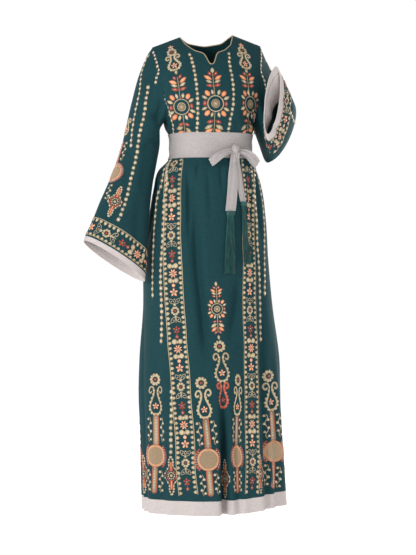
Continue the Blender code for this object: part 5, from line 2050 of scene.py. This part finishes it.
def sew_skirt(cloth):
    """The bands, strings and low columns of the skirt's front."""
    made = []
    work = Needlework(cloth)
    for step, size, pixels in SKIRT_CHAINS:
        chain(work, Path(cloth, found(cloth, pixels)), step, size)
    made.append(work.piece("skirt_bead_strings"))
    work = Needlework(cloth)
    for wide, heart, pixels in BANDS:
        path = Path(cloth, found(cloth, pixels), wide=wide)
        phase = path.nearest(*cloth.find(*heart))
        motif_band(work, path, phase, BAND_START, path.length - BAND_STOP)
    made.append(work.piece("skirt_bands"))
    work = Needlework(cloth)
    path = Path(cloth, found(cloth, LOW_MIDDLE_COLUMN))
    middle = path.nearest(*cloth.find(*LOW_MIDDLE_ROSETTE))
    sprig(work, path, middle, UPPER_SPRIG, LOW_SCALE)
    sprig(work, path, middle, LOWER_SPRIG, LOW_SCALE)
    work.patch(path.spot(max(middle - LOW_LEAF_UP, 0.004)), leaf(14 * MM, 8 * MM), "gold")
    work.patch(path.spot(middle + LOW_LEAF_DOWN), leaf(15 * MM, 8 * MM), "gold")
    rosette(work, path.spot(middle), LOW_SCALE)
    flower(work, path.spot(middle + LOW_FLOWER_DOWN), 17 * MM, 10)
    lyre(work, path.spot(middle + LOW_LYRE_DOWN))
    lyre(work, path.spot(min(middle + LAST_LYRE_DOWN, path.length)), 0.75, 0.9, "rust", "red")
    for wide, pixels in GOLD_COLUMNS:
        path = Path(cloth, found(cloth, pixels), wide=wide)
        gold_column(work, path, 0.0)
    for wide, pixels in DIAMONDS:
        diamond(work, Path(cloth, found(cloth, pixels), wide=wide).spot(0.0))
    made.append(work.piece("skirt_columns"))
    return made


def hidden_column(cloth, share, rise):
    """A path straight down to the seam, from a height above it, at a share of the half width."""
    u = cloth.columns * (1 + share) / 2
    rows = [cloth.above_end(u, rise * (1 - k / 4)) for k in range(5)]
    return Path(cloth, [(u, v) for v in rows])


def sew_hidden(cloth, side, gold, diamonds):
    """The low columns that go on round the sides of the skirt."""
    work = Needlework(cloth)
    for share in gold:
        path = hidden_column(cloth, share, GOLD_COLUMN_RISE)
        gold_column(work, path, HIDDEN_COLUMN_TOP)
    for share in diamonds:
        path = hidden_column(cloth, share, DIAMOND_RISE)
        diamond(work, path.spot(0.0))
    return work.piece("skirt_side_columns_" + side)


def cuff_path(cloth, rise, wide):
    """A closed path round a sleeve at a height above its seam with the cuff."""
    places = [(u, cloth.above_end(u, rise)) for u in range(cloth.columns - 2, -1, -2)]
    return Path(cloth, places, closed=True, samples=4, wide=wide)


def mirrored(cloth, places):
    """The same places on the other side of the sleeve's upper line."""
    return [(cloth.columns - u, v) for u, v in places]


def sleeve_drawing(cloth):
    """Where the needlework of a sleeve goes, found on the right sleeve and used on both."""
    strings = [(step, size, found(cloth, pixels)) for step, size, pixels in SLEEVE_CHAINS]
    front_string = (*SLEEVE_FRONT_CHAIN[:2], found(cloth, SLEEVE_FRONT_CHAIN[2]))
    heart = cloth.find(*SLEEVE_MEDALLION_CENTRE)
    return strings, front_string, found(cloth, SLEEVE_MEDALLION), heart


def sew_medallion(work, cloth, medallion, heart):
    """The disc on a sleeve's outer line, with a bar over it and vines beside them."""
    column = Path(cloth, medallion)
    centre = column.nearest(*heart)
    disc(work, column.spot(centre), 0.80, ((0, 360),))
    bar(work, column.spot(centre - MEDALLION_BAR_UP), MEDALLION_BAR_LENGTH, 9 * MM)
    for side in (-1, 1):
        vine(work, column.spot(centre - MEDALLION_VINE_UP), MEDALLION_VINE_LENGTH, side)
    vine(work, column.spot(centre + MEDALLION_TAIL_DOWN), MEDALLION_TAIL_LENGTH, 0)
    lyre(work, column.spot(centre - MEDALLION_LYRE_UP), 0.85, 0.6)


def sew_sleeve(cloth, name, strings, front_string, medallion, heart):
    """The cuff's band, the strings of beads and the medallions of a sleeve."""
    work = Needlework(cloth)
    path = cuff_path(cloth, CUFF_BAND_RISE[name], CUFF_BAND_WIDE[name])
    motif_band(work, path, path.nearest(*cloth.find(*CUFF_FLOWER[name])), 0.0, path.length)
    for step, size, places in strings:
        for some in (places, mirrored(cloth, places)):
            chain(work, Path(cloth, some), step, size)
    step, size, places = front_string
    chain(work, Path(cloth, places), step, size)
    if name == "right":
        sew_medallion(work, cloth, medallion, heart)
    made = [work.piece("sleeve_needlework_" + name)]
    if name == "right":
        for behind, label in ((False, "front"), (True, "back")):
            work = Needlework(plate(cloth, *SLEEVE_PLATE, behind))
            side = Path(work.cloth, found(work.cloth, SLEEVE_DIAMOND))
            diamond(work, side.spot(side.length / 2), 0.86)
            made.append(work.piece("sleeve_diamond_" + label))
    return made


def main():
    front, back = make_body()
    add_body((front, back))
    count = front[0].shape[0]
    front_cloth = Cloth(front[0], front[2][:count])
    back_cloth = Cloth(back[0], back[2][:count])
    going = {"front_cloth": [sew_bodice(plate(front_cloth, *BODICE_PLATE)), *sew_skirt(front_cloth)]}
    going["front_cloth"].append(sew_hidden(front_cloth, "front", (), HIDDEN_DIAMONDS_FRONT))
    going["back_cloth"] = [sew_hidden(back_cloth, "back", HIDDEN_GOLD_BACK, HIDDEN_DIAMONDS_BACK)]
    drawn = None
    for name, table, side, creases in (
        ("right", SLEEVE_RIGHT, -1, SLEEVE_RIGHT_CREASES),
        ("left", SLEEVE_LEFT, 1, SLEEVE_LEFT_CREASES),
    ):
        every, out = make_sleeve(name, table, armhole(front[0], back[0], side), side, creases)
        add_sleeve(name, every, out)
        cloth = Cloth(every[: SLEEVE_ROWS + 1], out[: SLEEVE_ROWS + 1], closed=True)
        if drawn is None:
            drawn = sleeve_drawing(cloth)
        going["sleeve_cloth_" + name] = sew_sleeve(cloth, name, *drawn)
    add_belt(front, back)
    going["front_cloth"].append(add_piping(front, back))
    going["belt_wrap"] = [add_knot()]
    for row in LOOPS:
        add_loop(row)
    for tail, tassel in zip(TAILS, TASSELS):
        cloth, y_end = add_tail(tail)
        going[cloth.name] = [add_tassel(tassel, y_end)]
    add_stage()


main()
